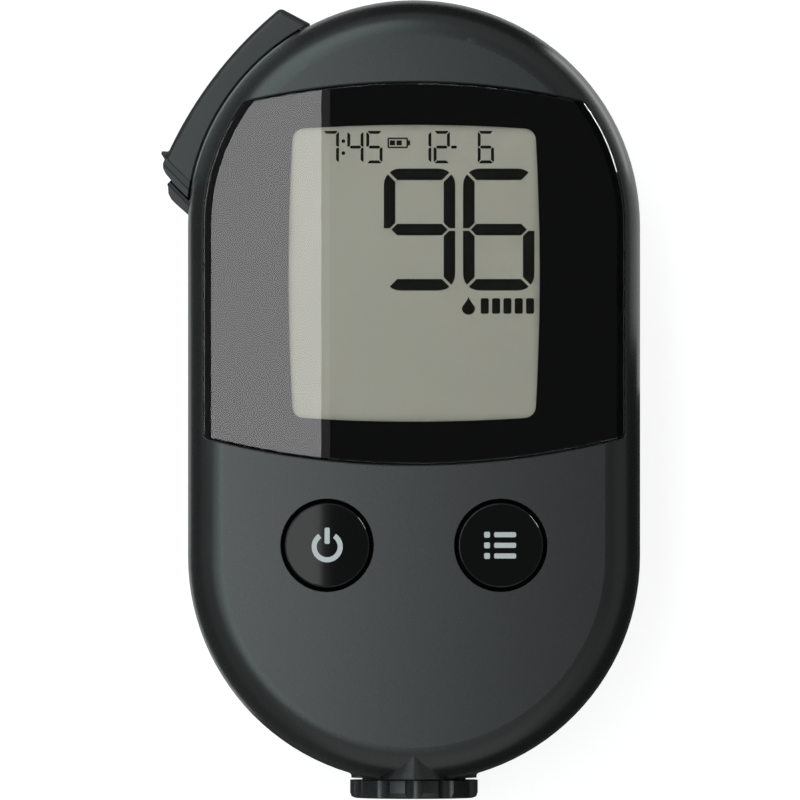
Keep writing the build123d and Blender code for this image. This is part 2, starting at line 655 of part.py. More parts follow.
def make_rear_cover():
    cover = outer_shell(0, SPLIT_Z, REAR_FILLET, front=False)
    cover -= shell_cavity(WALL, SPLIT_Z, REAR_FILLET - WALL, front=False)

    walls = block(-BAY_HALF_L - BAY_WALL, BAY_HALF_L + BAY_WALL, BAY_Y0 - BAY_WALL, BAY_Y1 + BAY_WALL,
                  WALL / 2, FRAME_Z0)
    walls -= block(-BAY_HALF_L, BAY_HALF_L, BAY_Y0, BAY_Y1, 0, FRAME_Z0)
    ring = end_disc(BAY_R + BAY_WALL, BAY_Y1 + BAY_WALL / 2) - end_disc(BAY_R, BAY_Y1)
    cover += walls
    cover += prism(ring, WALL / 2, FRAME_Z0)
    for x, y in case_screw_sites():
        boss = rod(x, y, CASE_BOSS_R, WALL / 2, SPLIT_Z) & prism(stadium(WALL / 2), 0, SPLIT_Z)
        cover += boss
        cover -= rod(x, y, CASE_SCREW_HEAD_R + FIT_GAP, -1, CASE_SCREW_SEAT_Z)
        cover -= rod(x, y, CASE_SCREW_R + FIT_GAP, -1, SPLIT_Z + 1)

    for y in SADDLE_YS:
        leg = SLIDE_FLANGE_HALF_W + SADDLE_LEG
        tunnel = SLIDE_FLANGE_HALF_W + SADDLE_SIDE_GAP
        saddle = block(-leg, leg, y, y + SADDLE_T, WALL / 2, SPLIT_Z)
        saddle -= block(-tunnel, tunnel, y - 1, y + SADDLE_T + 1, 0,
                        WALL + SLIDE_FLANGE_T + SADDLE_OVER_SLIDE)
        cover += saddle - rod_y(-BODY_L, 0, BARREL_R + SHAFT_GAP)
    thumb_gap = THUMB_HALF_W + SLIDE_GAP
    cover -= block(-thumb_gap, thumb_gap, THUMB_Y[0] - COCK_FORWARD - SLIDE_GAP,
                   THUMB_Y[1] + COCK_BACK + SLIDE_GAP, -1, WALL + 0.01)
    cover -= rod(*RELEASE_XY, RELEASE_R + SLIDE_GAP, -1, WALL + 0.01)

    cover -= block(-BATTERY_DOOR_HALF_L - DOOR_GAP, BATTERY_DOOR_HALF_L + DOOR_GAP,
                   BATTERY_DOOR_Y0 - DOOR_GAP, BATTERY_DOOR_Y1 + DOOR_GAP, -1, WALL + 0.01)
    cover -= prism(end_disc(BAY_R, HINGE_RECESS_Y), -1, WALL + 0.01)
    for sign in (-1, 1):
        x0, x1 = sorted((sign * LUG_X[0], sign * LUG_X[1]))
        foot = HINGE_Z - HINGE_BARREL_R
        lug = block(x0, x1, BAY_Y1 + BAY_WALL / 2, HINGE_Y, foot, HINGE_Z + HINGE_BARREL_R)
        lug += rod_x(x0, x1, HINGE_Y, HINGE_Z, HINGE_BARREL_R)
        cover += lug - rod_x(x0 - 1, x1 + 1, HINGE_Y, HINGE_Z, HINGE_PIN_R + SHAFT_GAP / 2)

    cover -= lancer_seat()
    tip_z = (tip_z0() - 0.2, tip_z1() + 0.3)
    half = TIP_HALF_W + SLIDE_GAP
    mouth = block(BAY_R - 1, END_R + 1, -half, half, *tip_z)
    return cover - Pos(0, ARC_Y) * Rot(0, 0, TIP_DEG) * mouth


def make_display_lens():
    plain = prism(window_face(LENS_GAP), LENS_Z0, BODY_H)
    plain = fillet(plain.faces().sort_by(Axis.Z)[-1].edges(), LENS_EDGE_R)
    bevelled = prism(stadium(WINDOW_INSET + LENS_GAP), LENS_Z0, BODY_H)
    top = bevelled.faces().sort_by(Axis.Z)[-1]
    bevelled = chamfer(top.edges(), LENS_BEVEL_W, LENS_BEVEL_H, reference=top)
    return plain & bevelled


def make_lens_mask():
    """Black print and edge tape behind the lens, out to the recess wall."""
    return prism(window_face(FIT_GAP) - view_face(), RECESS_Z, LENS_Z0)


def case_screw():
    head = rod(0, 0, CASE_SCREW_HEAD_R, CASE_SCREW_SEAT_Z - CASE_SCREW_HEAD_H, CASE_SCREW_SEAT_Z)
    head = chamfer(head.faces().sort_by(Axis.Z)[0].edges(), 0.3)
    slot = 0.25 * CASE_SCREW_HEAD_R
    drive_z = CASE_SCREW_SEAT_Z - CASE_SCREW_HEAD_H
    for turn in (0, 90):
        bar = block(-1.0, 1.0, -slot / 2, slot / 2, drive_z - 1, drive_z + 0.8)
        head -= Rot(0, 0, turn) * bar
    return head + rod(0, 0, CASE_SCREW_R, CASE_SCREW_SEAT_Z, CASE_SCREW_SEAT_Z + CASE_SCREW_L)


def board_screw():
    head = rod(0, 0, BOARD_SCREW_HEAD_R, BOARD_Z0 - BOARD_SCREW_HEAD_H, BOARD_Z0)
    drive_z = BOARD_Z0 - BOARD_SCREW_HEAD_H
    for turn in (0, 90):
        bar = block(-0.9, 0.9, -0.2, 0.2, drive_z - 1, drive_z + 0.5)
        head -= Rot(0, 0, turn) * bar
    return head + rod(0, 0, BOARD_SCREW_R, BOARD_Z0, RECESS_Z - BOARD_SCREW_END)


def at_sites(solid, sites):
    """Copies of one fastener, as separate solids."""
    return Compound([Pos(x, y) * solid for x, y in sites])


# ---------------------------------------------------------------- display, board and keys
def make_lcd_cell():
    glass = block(-LCD_HALF_W, LCD_HALF_W, LCD_Y0, LCD_Y1, LCD_Z0, LCD_Z1)
    return chamfer(glass.edges().filter_by(Axis.Z), GLASS_CORNER)


def zebra_ys():
    """Centre lines of the two contact strips under the glass."""
    inset = ZEBRA_FROM_GLASS_END + ZEBRA_W / 2
    return (LCD_Y0 + inset, LCD_Y1 - inset)


def make_lcd_frame():
    rim_x = LCD_HALF_W + LCD_RIM
    frame = block(-rim_x, rim_x, LCD_Y0 - LCD_RIM, LCD_Y1 + LCD_RIM, BOARD_Z1, LCD_Z0 + LCD_RIM_H)
    frame = chamfer(frame.edges().filter_by(Axis.Z), 1.0)
    frame -= block(-LCD_HALF_W - FIT_GAP, LCD_HALF_W + FIT_GAP, LCD_Y0 - FIT_GAP, LCD_Y1 + FIT_GAP,
                   LCD_Z0, LCD_Z0 + 2)
    lower, upper = zebra_ys()
    rail = ZEBRA_W / 2 + 1.0
    frame -= block(-LCD_HALF_W + 2, LCD_HALF_W - 2, lower + rail, upper - rail, 0, BODY_H)
    for y in (lower, upper):
        half = ZEBRA_W / 2 + FIT_GAP
        frame -= block(-ZEBRA_HALF_L - FIT_GAP, ZEBRA_HALF_L + FIT_GAP, y - half, y + half, 0, BODY_H)
    return frame


def make_zebra_strips():
    strip = block(-ZEBRA_HALF_L, ZEBRA_HALF_L, -ZEBRA_W / 2, ZEBRA_W / 2, BOARD_Z1, LCD_Z0)
    return Compound([Pos(0, y) * strip for y in zebra_ys()])


def room_under_board():
    """What the board and its parts are cut back from: the lancer's barrel and the motor."""
    barrel = rod_y(-BODY_L, BARREL_END_Y + ROOM_UNDER_BOARD, BARREL_R + ROOM_UNDER_BOARD)
    motor = rod(*PINION_XY, MOTOR_R + ROOM_UNDER_BOARD, 0, MOTOR_Z0 + MOTOR_H + ROOM_UNDER_BOARD)
    return barrel + motor


def make_main_board():
    above = Pos(0, BOARD_END_Y + 2 * BODY_L) * Rectangle(4 * BODY_L, 4 * BODY_L)
    board = prism(stadium(BOARD_INSET) & above, BOARD_Z0, BOARD_Z1)
    for x, y in BOARD_SCREW_SITES:
        board -= rod(x, y, BOARD_SCREW_R + FIT_GAP, 0, BODY_H)
    return board - room_under_board()


def make_board_components():
    """Parts soldered under the board."""
    room = room_under_board()
    parts = []
    for x, from_end, w, l, h in COMPONENTS:
        y = BOARD_END_Y + from_end
        parts.append(block(x - w / 2, x + w / 2, y - l / 2, y + l / 2, BOARD_Z0 - h, BOARD_Z0) - room)
    return Compound(parts)


def make_buzzer():
    x, y = BUZZER_XY[0], BOARD_END_Y + BUZZER_XY[1]
    can = rod(x, y, BUZZER_R, BOARD_Z0 - BUZZER_H, BOARD_Z0)
    return can - rod(x, y, BUZZER_HOLE_R, 0, BOARD_Z0 - BUZZER_H / 2)


def make_keypad_membrane():
    sheet = block(-KEYPAD_HALF_W, KEYPAD_HALF_W, BUTTON_Y - KEYPAD_HALF_L, BUTTON_Y + KEYPAD_HALF_L,
                  BOARD_Z1, BOARD_Z1 + KEYPAD_T)
    sheet = fillet(sheet.edges().filter_by(Axis.Z), 2.0)
    for x in BUTTON_XS:
        z0 = BOARD_Z1 + KEYPAD_T
        dome = Cone(DOME_BASE_R, DOME_TOP_R, DOME_TOP_Z - z0, align=UPRIGHT)
        sheet += Pos(x, BUTTON_Y, z0) * dome
        sheet -= rod(x, BUTTON_Y, DOME_TOP_R - 0.6, BOARD_Z1 - 1, z0 + 0.2)
    return sheet


def make_button(x):
    """Key cap turned from its section: flat face, soft crown, rounded rim and flange."""
    side = [
        (0, BUTTON_Z0), (BUTTON_FLANGE_R, BUTTON_Z0), (BUTTON_FLANGE_R, BUTTON_FLANGE_Z1),
        (BUTTON_R, BUTTON_FLANGE_Z1),
    ]
    rim_r = BUTTON_R - BUTTON_CROWN_R
    crown_z = BODY_H - BUTTON_CROWN_DROP
    wall = Line((BUTTON_R, BUTTON_FLANGE_Z1), (BUTTON_R, crown_z - rim_r))
    bend = rim_r * (1 - sqrt(0.5))
    rim = ThreePointArc((BUTTON_R, crown_z - rim_r), (BUTTON_R - bend, crown_z - bend),
                        (BUTTON_CROWN_R, crown_z))
    crown = Line((BUTTON_CROWN_R, crown_z), (BUTTON_FACE_R, BODY_H))
    face = Line((BUTTON_FACE_R, BODY_H), (0, BODY_H))
    section = make_face([Polyline(*side), wall, rim, crown, face, Line((0, BODY_H), (0, BUTTON_Z0))])
    cap = revolve(Plane.XZ * section, Axis.Z)
    return Pos(x, BUTTON_Y) * cap


# ---------------------------------------------------------------- middle frame and drive
def make_mid_frame():
    above = Pos(0, FRAME_END_Y + 2 * BODY_L) * Rectangle(4 * BODY_L, 4 * BODY_L)
    frame = prism(stadium(WALL + 0.4) & above, FRAME_Z0, FRAME_Z1)
    for x, y in case_screw_sites()[:2]:
        frame -= rod(x, y, CASE_BOSS_R + SLIDE_GAP, 0, BODY_H)
    deg0, deg1 = TONGUE_DEG
    rib_r = HOOK_R0 - SLIDE_GAP
    frame += arc_band(rib_r - GUIDE_RIB_T, rib_r, deg0 - SHUTTER_TURN - SLOT_SLACK_DEG, deg1, FRAME_Z1 - 0.1,
                      TONGUE_Z0 + HOOK_H)
    frame -= rod(*TAKE_UP_XY, SPINDLE_R + SHAFT_GAP, 0, BODY_H)
    for sign in (-1, 1):
        x = PINION_XY[0] + sign * MOTOR_POST_X
        frame += rod(x, PINION_XY[1], MOTOR_POST_R, FRAME_Z1 - 0.1, MOTOR_Z0)
    half_w, half_l = FRAME_POCKET_SIZE[0] / 2, FRAME_POCKET_SIZE[1] / 2
    for x in FRAME_POCKET_XS:
        frame -= block(x - half_w, x + half_w, CELL_Y - half_l, CELL_Y + half_l,
                       FRAME_Z0 + FRAME_POCKET_FLOOR, FRAME_Z1)
    for y in CELL_YS:
        frame -= rod_x(-BAY_HALF_L, BAY_HALF_L, y, CELL_Z, CELL_R + SLIDE_GAP)
    return frame


def make_drive_gear():
    gear = Pos(*TAKE_UP_XY) * prism(gear_face(GEAR_TEETH, PINION_DEG), GEAR_Z0, GEAR_Z0 + GEAR_T)
    gear += rod(*TAKE_UP_XY, SPINDLE_R + GEAR_HUB_WALL, FRAME_Z1 + SHAFT_GAP,
                GEAR_Z0 + GEAR_T + GEAR_HUB_RISE)
    return gear + rod(*TAKE_UP_XY, SPINDLE_R, REEL_Z0 + 1.5, GEAR_Z0 + GEAR_T)


def make_motor_pinion():
    turn = PINION_DEG + 180 + 180 / PINION_TEETH
    pinion = Pos(*PINION_XY) * prism(gear_face(PINION_TEETH, turn), GEAR_Z0 - PINION_OVERLAP,
                                     GEAR_Z0 + GEAR_T + PINION_OVERLAP)
    return pinion + rod(*PINION_XY, MOTOR_SHAFT_R, GEAR_Z0, MOTOR_Z0 + MOTOR_SHAFT_IN)


def make_drive_motor():
    x, y = PINION_XY
    motor = rod(x, y, MOTOR_R, MOTOR_Z0, MOTOR_Z0 + MOTOR_H)
    motor = chamfer(motor.edges().filter_by(GeomType.CIRCLE), 0.3)
    ears = block(x - MOTOR_EAR_REACH, x + MOTOR_EAR_REACH, y - MOTOR_POST_R, y + MOTOR_POST_R, MOTOR_Z0,
                 MOTOR_Z0 + MOTOR_EAR_T)
    motor += ears
    bore_end = MOTOR_Z0 + MOTOR_SHAFT_IN + 4 * SHAFT_GAP
    return motor - rod(x, y, MOTOR_SHAFT_R + SHAFT_GAP, MOTOR_Z0 - 1, bore_end)


def make_optic_reader():
    return arc_band(BAY_R + BAY_WALL + SLIDE_GAP, END_R - WALL - READER_GAP, TIP_DEG - READER_HALF_DEG,
                    TIP_DEG + READER_HALF_DEG, tip_z1() + READER_GAP, FRAME_Z0)


# ---------------------------------------------------------------- test cassette
def tip_z0():
    """Lower face of the test tip."""
    return TAPE_Z0 - FIT_GAP - TIP_PLATE_T


def tip_z1():
    """Upper face of the test tip."""
    return TAPE_Z0 + TAPE_W + FIT_GAP + TIP_PLATE_T


def make_cassette_base():
    lid_z = CASSETTE_Z1 - CASSETTE_WALL
    base = prism(end_disc(CASSETTE_R, CASSETTE_Y0), CASSETTE_Z0, lid_z)
    inner = end_disc(CASSETTE_R - CASSETTE_WALL, CASSETTE_Y0 + CASSETTE_WALL)
    base -= prism(inner, CASSETTE_Z0 + CASSETTE_WALL, lid_z)
    half = TIP_HALF_W + 0.4
    mouth = block(TIP_ROOT, CASSETTE_R + 2, -half, half, CASSETTE_Z0 + CASSETTE_WALL, BODY_H)
    base -= Pos(0, ARC_Y) * Rot(0, 0, TIP_DEG) * mouth
    return base + rod(*SUPPLY_XY, SUPPLY_POST_R, CASSETTE_Z0 + CASSETTE_WALL / 2, lid_z)


def make_cassette_lid():
    lid = prism(end_disc(CASSETTE_R, CASSETTE_Y0), CASSETTE_Z1 - CASSETTE_WALL, CASSETTE_Z1)
    lid -= rod(*TAKE_UP_XY, SPINDLE_R + 0.5, 0, BODY_H)
    return lid - rod(*SUPPLY_XY, SUPPLY_POST_R + SHAFT_GAP, CASSETTE_Z1 - CASSETTE_WALL / 2, BODY_H)


def make_tape_guide():
    """The test tip that the tape runs round, and its foot in the cassette."""
    z0, z1 = tip_z0(), tip_z1()
    core = Rectangle(TIP_REACH - TIP_ROOT, 2 * TIP_CORE_HALF_W, align=(Align.MIN, Align.CENTER))
    plate = Rectangle(TIP_REACH - TIP_ROOT, 2 * TIP_HALF_W, align=(Align.MIN, Align.CENTER))
    nose = fillet(core.vertices().sort_by(Axis.X)[-2:], TIP_CORNER_R)
    guard = fillet(plate.vertices().sort_by(Axis.X)[-2:], 2 * TIP_CORNER_R)
    tip = prism(Pos(TIP_ROOT, 0) * nose, z0, z1)
    for low in (z0, z1 - TIP_PLATE_T):
        tip += prism(Pos(TIP_ROOT, 0) * guard, low, low + TIP_PLATE_T)
    floor_z = CASSETTE_Z0 + CASSETTE_WALL
    tip += block(TIP_ROOT, CASSETTE_R - 0.6, -TIP_HALF_W, TIP_HALF_W, floor_z, z0 + 0.1)
    return Pos(0, ARC_Y) * Rot(0, 0, TIP_DEG) * tip


def make_test_tape():
    """The free run of tape, from the supply roll round the test tip to the take-up roll."""
    side = TIP_CORE_HALF_W + 0.3
    front = TIP_REACH + 0.27
    root_low = end_point(TIP_ROOT, TIP_DEG, side)
    root_high = end_point(TIP_ROOT, TIP_DEG, -side)
    start = tangent_point(SUPPLY_XY, SUPPLY_ROLL_R + 0.2, root_low, 1)
    finish = tangent_point(TAKE_UP_XY, TAKE_UP_ROLL_R + 0.2, root_high, -1)
    route = [start, root_low, end_point(front, TIP_DEG, side), end_point(front, TIP_DEG, -side), root_high,
             finish]
    tape = None
    for (ax, ay), (bx, by) in zip(route, route[1:]):
        run = Rectangle(hypot(bx - ax, by - ay) + TAPE_T, TAPE_T)
        middle = Pos((ax + bx) / 2, (ay + by) / 2) * Rot(0, 0, degrees(atan2(by - ay, bx - ax)))
        piece = prism(middle * run, TAPE_Z0, TAPE_Z0 + TAPE_W)
        tape = piece if tape is None else tape + piece
    return tape


def make_reel(centre, flange_r, bore_r):
    reel = rod(*centre, flange_r, REEL_Z0, REEL_Z0 + REEL_FLANGE_T)
    reel += rod(*centre, HUB_R, REEL_Z0, REEL_Z1)
    for turn in range(6):
        a = radians(60 * turn)
        hole_ring = (HUB_R + flange_r) / 2
        reel -= rod(centre[0] + hole_ring * cos(a), centre[1] + hole_ring * sin(a), 1.1, 0, BODY_H)
    return reel - rod(*centre, bore_r, 0, BODY_H)


def make_tape_roll(centre, roll_r):
    z0 = REEL_Z0 + REEL_FLANGE_T + SHAFT_GAP
    roll = rod(*centre, roll_r, z0, TAPE_Z0 + TAPE_W + 0.3)
    return roll - rod(*centre, HUB_R + SHAFT_GAP, 0, BODY_H)


# ---------------------------------------------------------------- tip shutter
def shutter_face():
    """Plan of the shutter, from its closed end to the foot."""
    face = Pos(*SHUTTER_ARC_CENTRE) * Circle(SHUTTER_ARC_R)
    size = 4 * BODY_L
    run = Vector(1, 0).rotate(Axis.Z, SHUTTER_END_SLOPE)
    normal = run.rotate(Axis.Z, 90)
    centre = Vector(*SHUTTER_END_POINT) - normal * (size / 2)
    face &= Pos(centre.X, centre.Y) * Rot(0, 0, SHUTTER_END_SLOPE) * Rectangle(size, size)
    face -= beyond_foot(0)
    face -= Pos(0, ARC_Y) * Circle(END_R + SHUTTER_CASE_GAP)
    upper_left = Pos(-BODY_L / 2, ARC_Y + BODY_L / 2) * Rectangle(BODY_L, BODY_L)
    return face & upper_left


def make_tip_shutter():
    face = shutter_face()
    corner = face.vertices().sort_by_distance(Vector(*SHUTTER_END_POINT))[0]
    face = fillet(corner, SHUTTER_CORNER_R)
    shutter = prism(face, SHUTTER_Z0, SHUTTER_Z1)
    inner_r = END_R + SHUTTER_CASE_GAP
    for z in (SHUTTER_Z0, SHUTTER_Z1):
        level = shutter.edges().filter_by_position(Axis.Z, z - 0.01, z + 0.01)
        outside = [e for e in level if on_shutter_outside(e, inner_r)]
        shutter = fillet(outside, SHUTTER_EDGE_R)

    room = Pos(*SHUTTER_ARC_CENTRE) * Circle(SHUTTER_ARC_R - SHUTTER_WALL)
    run = Vector(1, 0).rotate(Axis.Z, SHUTTER_END_SLOPE)
    normal = run.rotate(Axis.Z, 90)
    size = 4 * BODY_L
    centre = Vector(*SHUTTER_END_POINT) - normal * (size / 2 + SHUTTER_WALL)
    room &= Pos(centre.X, centre.Y) * Rot(0, 0, SHUTTER_END_SLOPE) * Rectangle(size, size)
    shutter -= prism(room, SHUTTER_Z0 + SHUTTER_REAR_WALL, SHUTTER_Z1 - SHUTTER_WALL)

    deg0, deg1 = TONGUE_DEG
    reach = SHUTTER_ARC_R - SHUTTER_WALL / 2
    web = arc_band(HOOK_R0, 2 * END_R, deg0, deg1, TONGUE_Z0, TONGUE_Z0 + TONGUE_T)
    web &= prism(Pos(*SHUTTER_ARC_CENTRE) * Circle(reach), 0, BODY_H)
    web -= prism(beyond_foot(0) - Pos(0, ARC_Y) * Circle(inner_r), 0, BODY_H)
    shutter += web
    return shutter + arc_band(HOOK_R0, HOOK_R1, deg0, deg1, TONGUE_Z0, TONGUE_Z0 + HOOK_H)


def on_shutter_outside(edge, inner_r):
    """True for edges on the outer arc, its corner and the closed end."""
    middle = edge @ 0.5
    from_end = hypot(middle.X, middle.Y - ARC_Y)
    on_foot = abs(middle.X + middle.Y - SHUTTER_FOOT_SUM) < 0.05
    return from_end > inner_r + 0.1 and not on_foot


def foot_corner():
    """Where the shutter's outer arc meets the 45 degree line of its foot."""
    cx, cy = SHUTTER_ARC_CENTRE
    along = (cx - cy + SHUTTER_FOOT_SUM) / 2
    across = (cx + cy - SHUTTER_FOOT_SUM) / sqrt(2)
    x = along - sqrt((SHUTTER_ARC_R**2 - across**2) / 2)
    return (x, SHUTTER_FOOT_SUM - x)


def from_foot(offsets):
    """Face through points that are given from the shutter's foot corner."""
    x, y = foot_corner()
    return Polygon(*[(x + dx, y + dy) for dx, dy in offsets], align=None)


def make_shutter_thumb_grip():
    """Thumb ridge and nub across the shutter's open end."""
    outline = from_foot(GRIP_OUTLINE) & beyond_foot(0)
    outline -= beyond_foot(GRIP_W)
    nub = from_foot(GRIP_OUTLINE) - beyond_foot(0)
    nub -= Pos(*SHUTTER_ARC_CENTRE) * Circle(SHUTTER_ARC_R + SHAFT_GAP)
    outline -= Pos(0, ARC_Y) * Circle(END_R + SHUTTER_CASE_GAP)
    slope_top = SHUTTER_Z1 - GRIP_SLOPE_DROP
    ridge_top = SHUTTER_Z1 - GRIP_RIDGE_DROP
    grip = prism(outline, SHUTTER_Z0, slope_top)
    grip += prism(outline & beyond_foot(GRIP_STEP), SHUTTER_Z0, ridge_top)
    grip += prism(nub, SHUTTER_Z0 + NUB_INSET, SHUTTER_Z1 - NUB_INSET)
    room = rod(0, ARC_Y, TIP_REACH + SHUTTER_TIP_ROOM, SHUTTER_Z0 + SHUTTER_REAR_WALL,
               SHUTTER_Z1 - SHUTTER_WALL)
    return grip - room


def make_tip_finger_rest():
    """Fixed ribbed rest on the case, below the shutter."""
    outline = from_foot(REST_OUTLINE) & beyond_foot(GRIP_W + REST_GAP)
    outline -= Pos(0, ARC_Y) * Circle(END_R + SHAFT_GAP / 2)
    top = SHUTTER_Z1 - REST_DROP
    rest = prism(outline, SHUTTER_Z0, top)
    near, far = REST_GROOVE
    groove = beyond_foot(GRIP_W + REST_GAP + near) - beyond_foot(GRIP_W + REST_GAP + far)
    rest -= prism(outline & groove, top - REST_GROOVE_DEPTH, SHUTTER_Z1)
    lip = (from_foot(GRIP_OUTLINE) & beyond_foot(GRIP_STEP)) + outline
    lip -= Pos(0, ARC_Y) * Circle(END_R + SHAFT_GAP / 2)
    lip_top = SHUTTER_Z0 - SLIDE_GAP
    rest += prism(outline, lip_top, SHUTTER_Z0)
    return rest + prism(lip, lip_top - REST_LIP_T, lip_top)


# ---------------------------------------------------------------- doors and cells
def make_cassette_door():
    radius = BAY_R - DOOR_GAP
    door = prism(end_disc(radius, HINGE_Y), 0, DOOR_T)
    door += rod_x(-BODY_W, BODY_W, HINGE_Y, HINGE_Z, HINGE_BARREL_R) & rod(0, ARC_Y, radius, 0, BODY_H)
    corner_x = sqrt(BAY_R**2 - (ARC_Y - HINGE_RECESS_Y) ** 2) - DOOR_GAP
    for sign in (-1, 1):
        x0, x1 = sorted((sign * (LUG_X[0] - LUG_GAP), sign * (LUG_X[1] + LUG_GAP)))
        door -= block(x0, x1, 0, HINGE_Y + HINGE_BARREL_R + 0.45, -1, BODY_H)
        p0, p1 = sorted((sign * (HINGE_PIN_X[0] - LUG_GAP), sign * (HINGE_PIN_X[1] + LUG_GAP)))
        door -= rod_x(p0, p1, HINGE_Y, HINGE_Z, HINGE_PIN_R + SHAFT_GAP)
        c0, c1 = sorted((sign * corner_x, sign * BODY_W))
        door -= block(c0, c1, 0, HINGE_Y + HINGE_Z + DOOR_CORNER_RISE, -1, BODY_H)
    thumb_y = ARC_Y + radius - DOOR_THUMB_FROM_RIM
    return door - Pos(0, thumb_y, DOOR_THUMB_DEPTH - DOOR_THUMB_R) * Sphere(DOOR_THUMB_R)


def make_door_hinge_pins():
    pins = [rod_x(HINGE_PIN_X[0], HINGE_PIN_X[1], HINGE_Y, HINGE_Z, HINGE_PIN_R),
            rod_x(-HINGE_PIN_X[1], -HINGE_PIN_X[0], HINGE_Y, HINGE_Z, HINGE_PIN_R)]
    return Compound(pins)


def make_battery_door():
    door = block(-BATTERY_DOOR_HALF_L, BATTERY_DOOR_HALF_L, BATTERY_DOOR_Y0, BATTERY_DOOR_Y1, 0, DOOR_T)
    door = fillet(door.edges().filter_by(Axis.Z), BATTERY_DOOR_CORNER_R)
    for i in range(DOOR_GRIP_GROOVES):
        y = BATTERY_DOOR_Y0 + DOOR_GRIP_FROM_EDGE + GRIP_PITCH * i
        door -= block(-DOOR_GRIP_HALF_L, DOOR_GRIP_HALF_L, y - GRIP_GROOVE_W / 2, y + GRIP_GROOVE_W / 2, -1,
                      DOOR_GRIP_DEPTH)
    return door


def make_cell(y, plus):
    """One cylindrical cell along X; plus is the side of its raised end, +1 or -1."""
    start = -plus * CELL_HALF_SPAN
    x0, x1 = sorted((start, start + plus * CELL_L))
    cell = rod_x(x0, x1, y, CELL_Z, CELL_R)
    cell = fillet(cell.edges().filter_by(GeomType.CIRCLE), CELL_EDGE_R)
    n0, n1 = sorted((start + plus * (CELL_L - 0.2), start + plus * (CELL_L + CELL_NUB_L)))
    return cell + rod_x(n0, n1, y, CELL_Z, CELL_NUB_R)


def cell_poles():
    """(y, side of the raised end) of each cell."""
    return ((CELL_YS[0], 1), (CELL_YS[1], -1))


def make_battery_contacts():
    """Spring plates and button plates at the ends of the bay."""
    plates = []
    half = CONTACT_SIZE / 2
    for y, plus in cell_poles():
        for side in (-1, 1):
            x0, x1 = sorted((side * (BAY_HALF_L - FIT_GAP), side * (BAY_HALF_L - FIT_GAP - CONTACT_T)))
            plate = block(x0, x1, y - half, y + half, CELL_Z - half, CELL_Z + half)
            if side == plus:
                plate_middle = BAY_HALF_L - FIT_GAP - CONTACT_T / 2
                b0, b1 = sorted((side * (CELL_HALF_SPAN + SHAFT_GAP), side * plate_middle))
                plate += rod_x(b0, b1, y, CELL_Z, CELL_CONTACT_BUTTON_R)
            plates.append(plate)
    return Compound(plates)


def make_battery_springs():
    springs = []
    body_end = CELL_HALF_SPAN + SHAFT_GAP
    length = BAY_HALF_L - FIT_GAP - CONTACT_T - SHAFT_GAP - body_end
    spring = coil(CELL_SPRING_R, CELL_SPRING_WIRE, length, CELL_SPRING_TURNS)
    for y, plus in cell_poles():
        turn = Rot(0, -90 * plus, 0)
        springs.append(Pos(-plus * body_end, y, CELL_Z) * turn * spring)
    return Compound(springs)


# ---------------------------------------------------------------- lancer
def make_lancer_barrel():
    end = BARREL_END_Y - BARREL_END_WALL
    snap0, snap1 = SNAP_Y, SNAP_Y - SNAP_W
    barrel = turned_y([
        (BARREL_BORE_R, NECK_END_Y), (NECK_R, NECK_END_Y), (NECK_R, snap1), (NECK_R - SNAP_DEPTH, snap1),
        (NECK_R - SNAP_DEPTH, snap0), (NECK_R, snap0), (NECK_R, FLANGE_Y), (FLANGE_R, FLANGE_Y),
        (FLANGE_R, FLANGE_Y + FLANGE_T), (BARREL_R, FLANGE_Y + FLANGE_T), (BARREL_R, BARREL_END_Y),
        (0, BARREL_END_Y), (0, end), (BARREL_BORE_R, end), (BARREL_BORE_R, SPRING_STEP_Y),
        (SPRING_STEP_R, SPRING_STEP_Y), (SPRING_STEP_R, SPRING_STEP_Y - SPRING_STEP_T),
        (BARREL_BORE_R, SPRING_STEP_Y - SPRING_STEP_T),
    ])
    half = STEM_HALF_W + SLIDE_GAP
    barrel -= block(-half, half, STEM_Y[0] - COCK_FORWARD - SLIDE_GAP, STEM_Y[1] + COCK_BACK + SLIDE_GAP, 0,
                    LANCER_Z - 2)
    y = RELEASE_XY[1]
    return barrel - block(BARREL_BORE_R - 1, BARREL_R + 1, y - 1.3, y + 1.3, LANCER_Z - 3, LANCER_Z + 1)


def make_lancer_plunger():
    y0, y1 = PLUNGER_Y
    r = BARREL_BORE_R - PLUNGER_GAP
    socket_r = LANCET_R + SHAFT_GAP
    plunger = turned_y([
        (socket_r, y0), (r, y0), (r, y1), (PLUNGER_TAIL_R, y1), (PLUNGER_TAIL_R, PLUNGER_TAIL_Y),
        (0, PLUNGER_TAIL_Y), (0, LANCET_Y[1] + FIT_GAP), (socket_r, LANCET_Y[1] + FIT_GAP),
    ])
    half = STEM_HALF_W + SHAFT_GAP
    return plunger - block(-half, half, STEM_Y[0] - SHAFT_GAP, STEM_Y[1] + SHAFT_GAP, 0,
                           STEM_TOP_Z + SHAFT_GAP)


def make_lancet_body():
    y0, y1 = LANCET_Y
    nose = [(LANCET_R - step, y0 + rise) for step, rise in LANCET_NOSE]
    return turned_y([(0, y0), *nose, (LANCET_R, y1), (0, y1)])


def make_lancet_needle():
    tip = LANCET_Y[0] - NEEDLE_L
    return turned_y([(0, tip), (NEEDLE_R, tip + NEEDLE_POINT_L), (NEEDLE_R, LANCET_Y[0]), (0, LANCET_Y[0])])


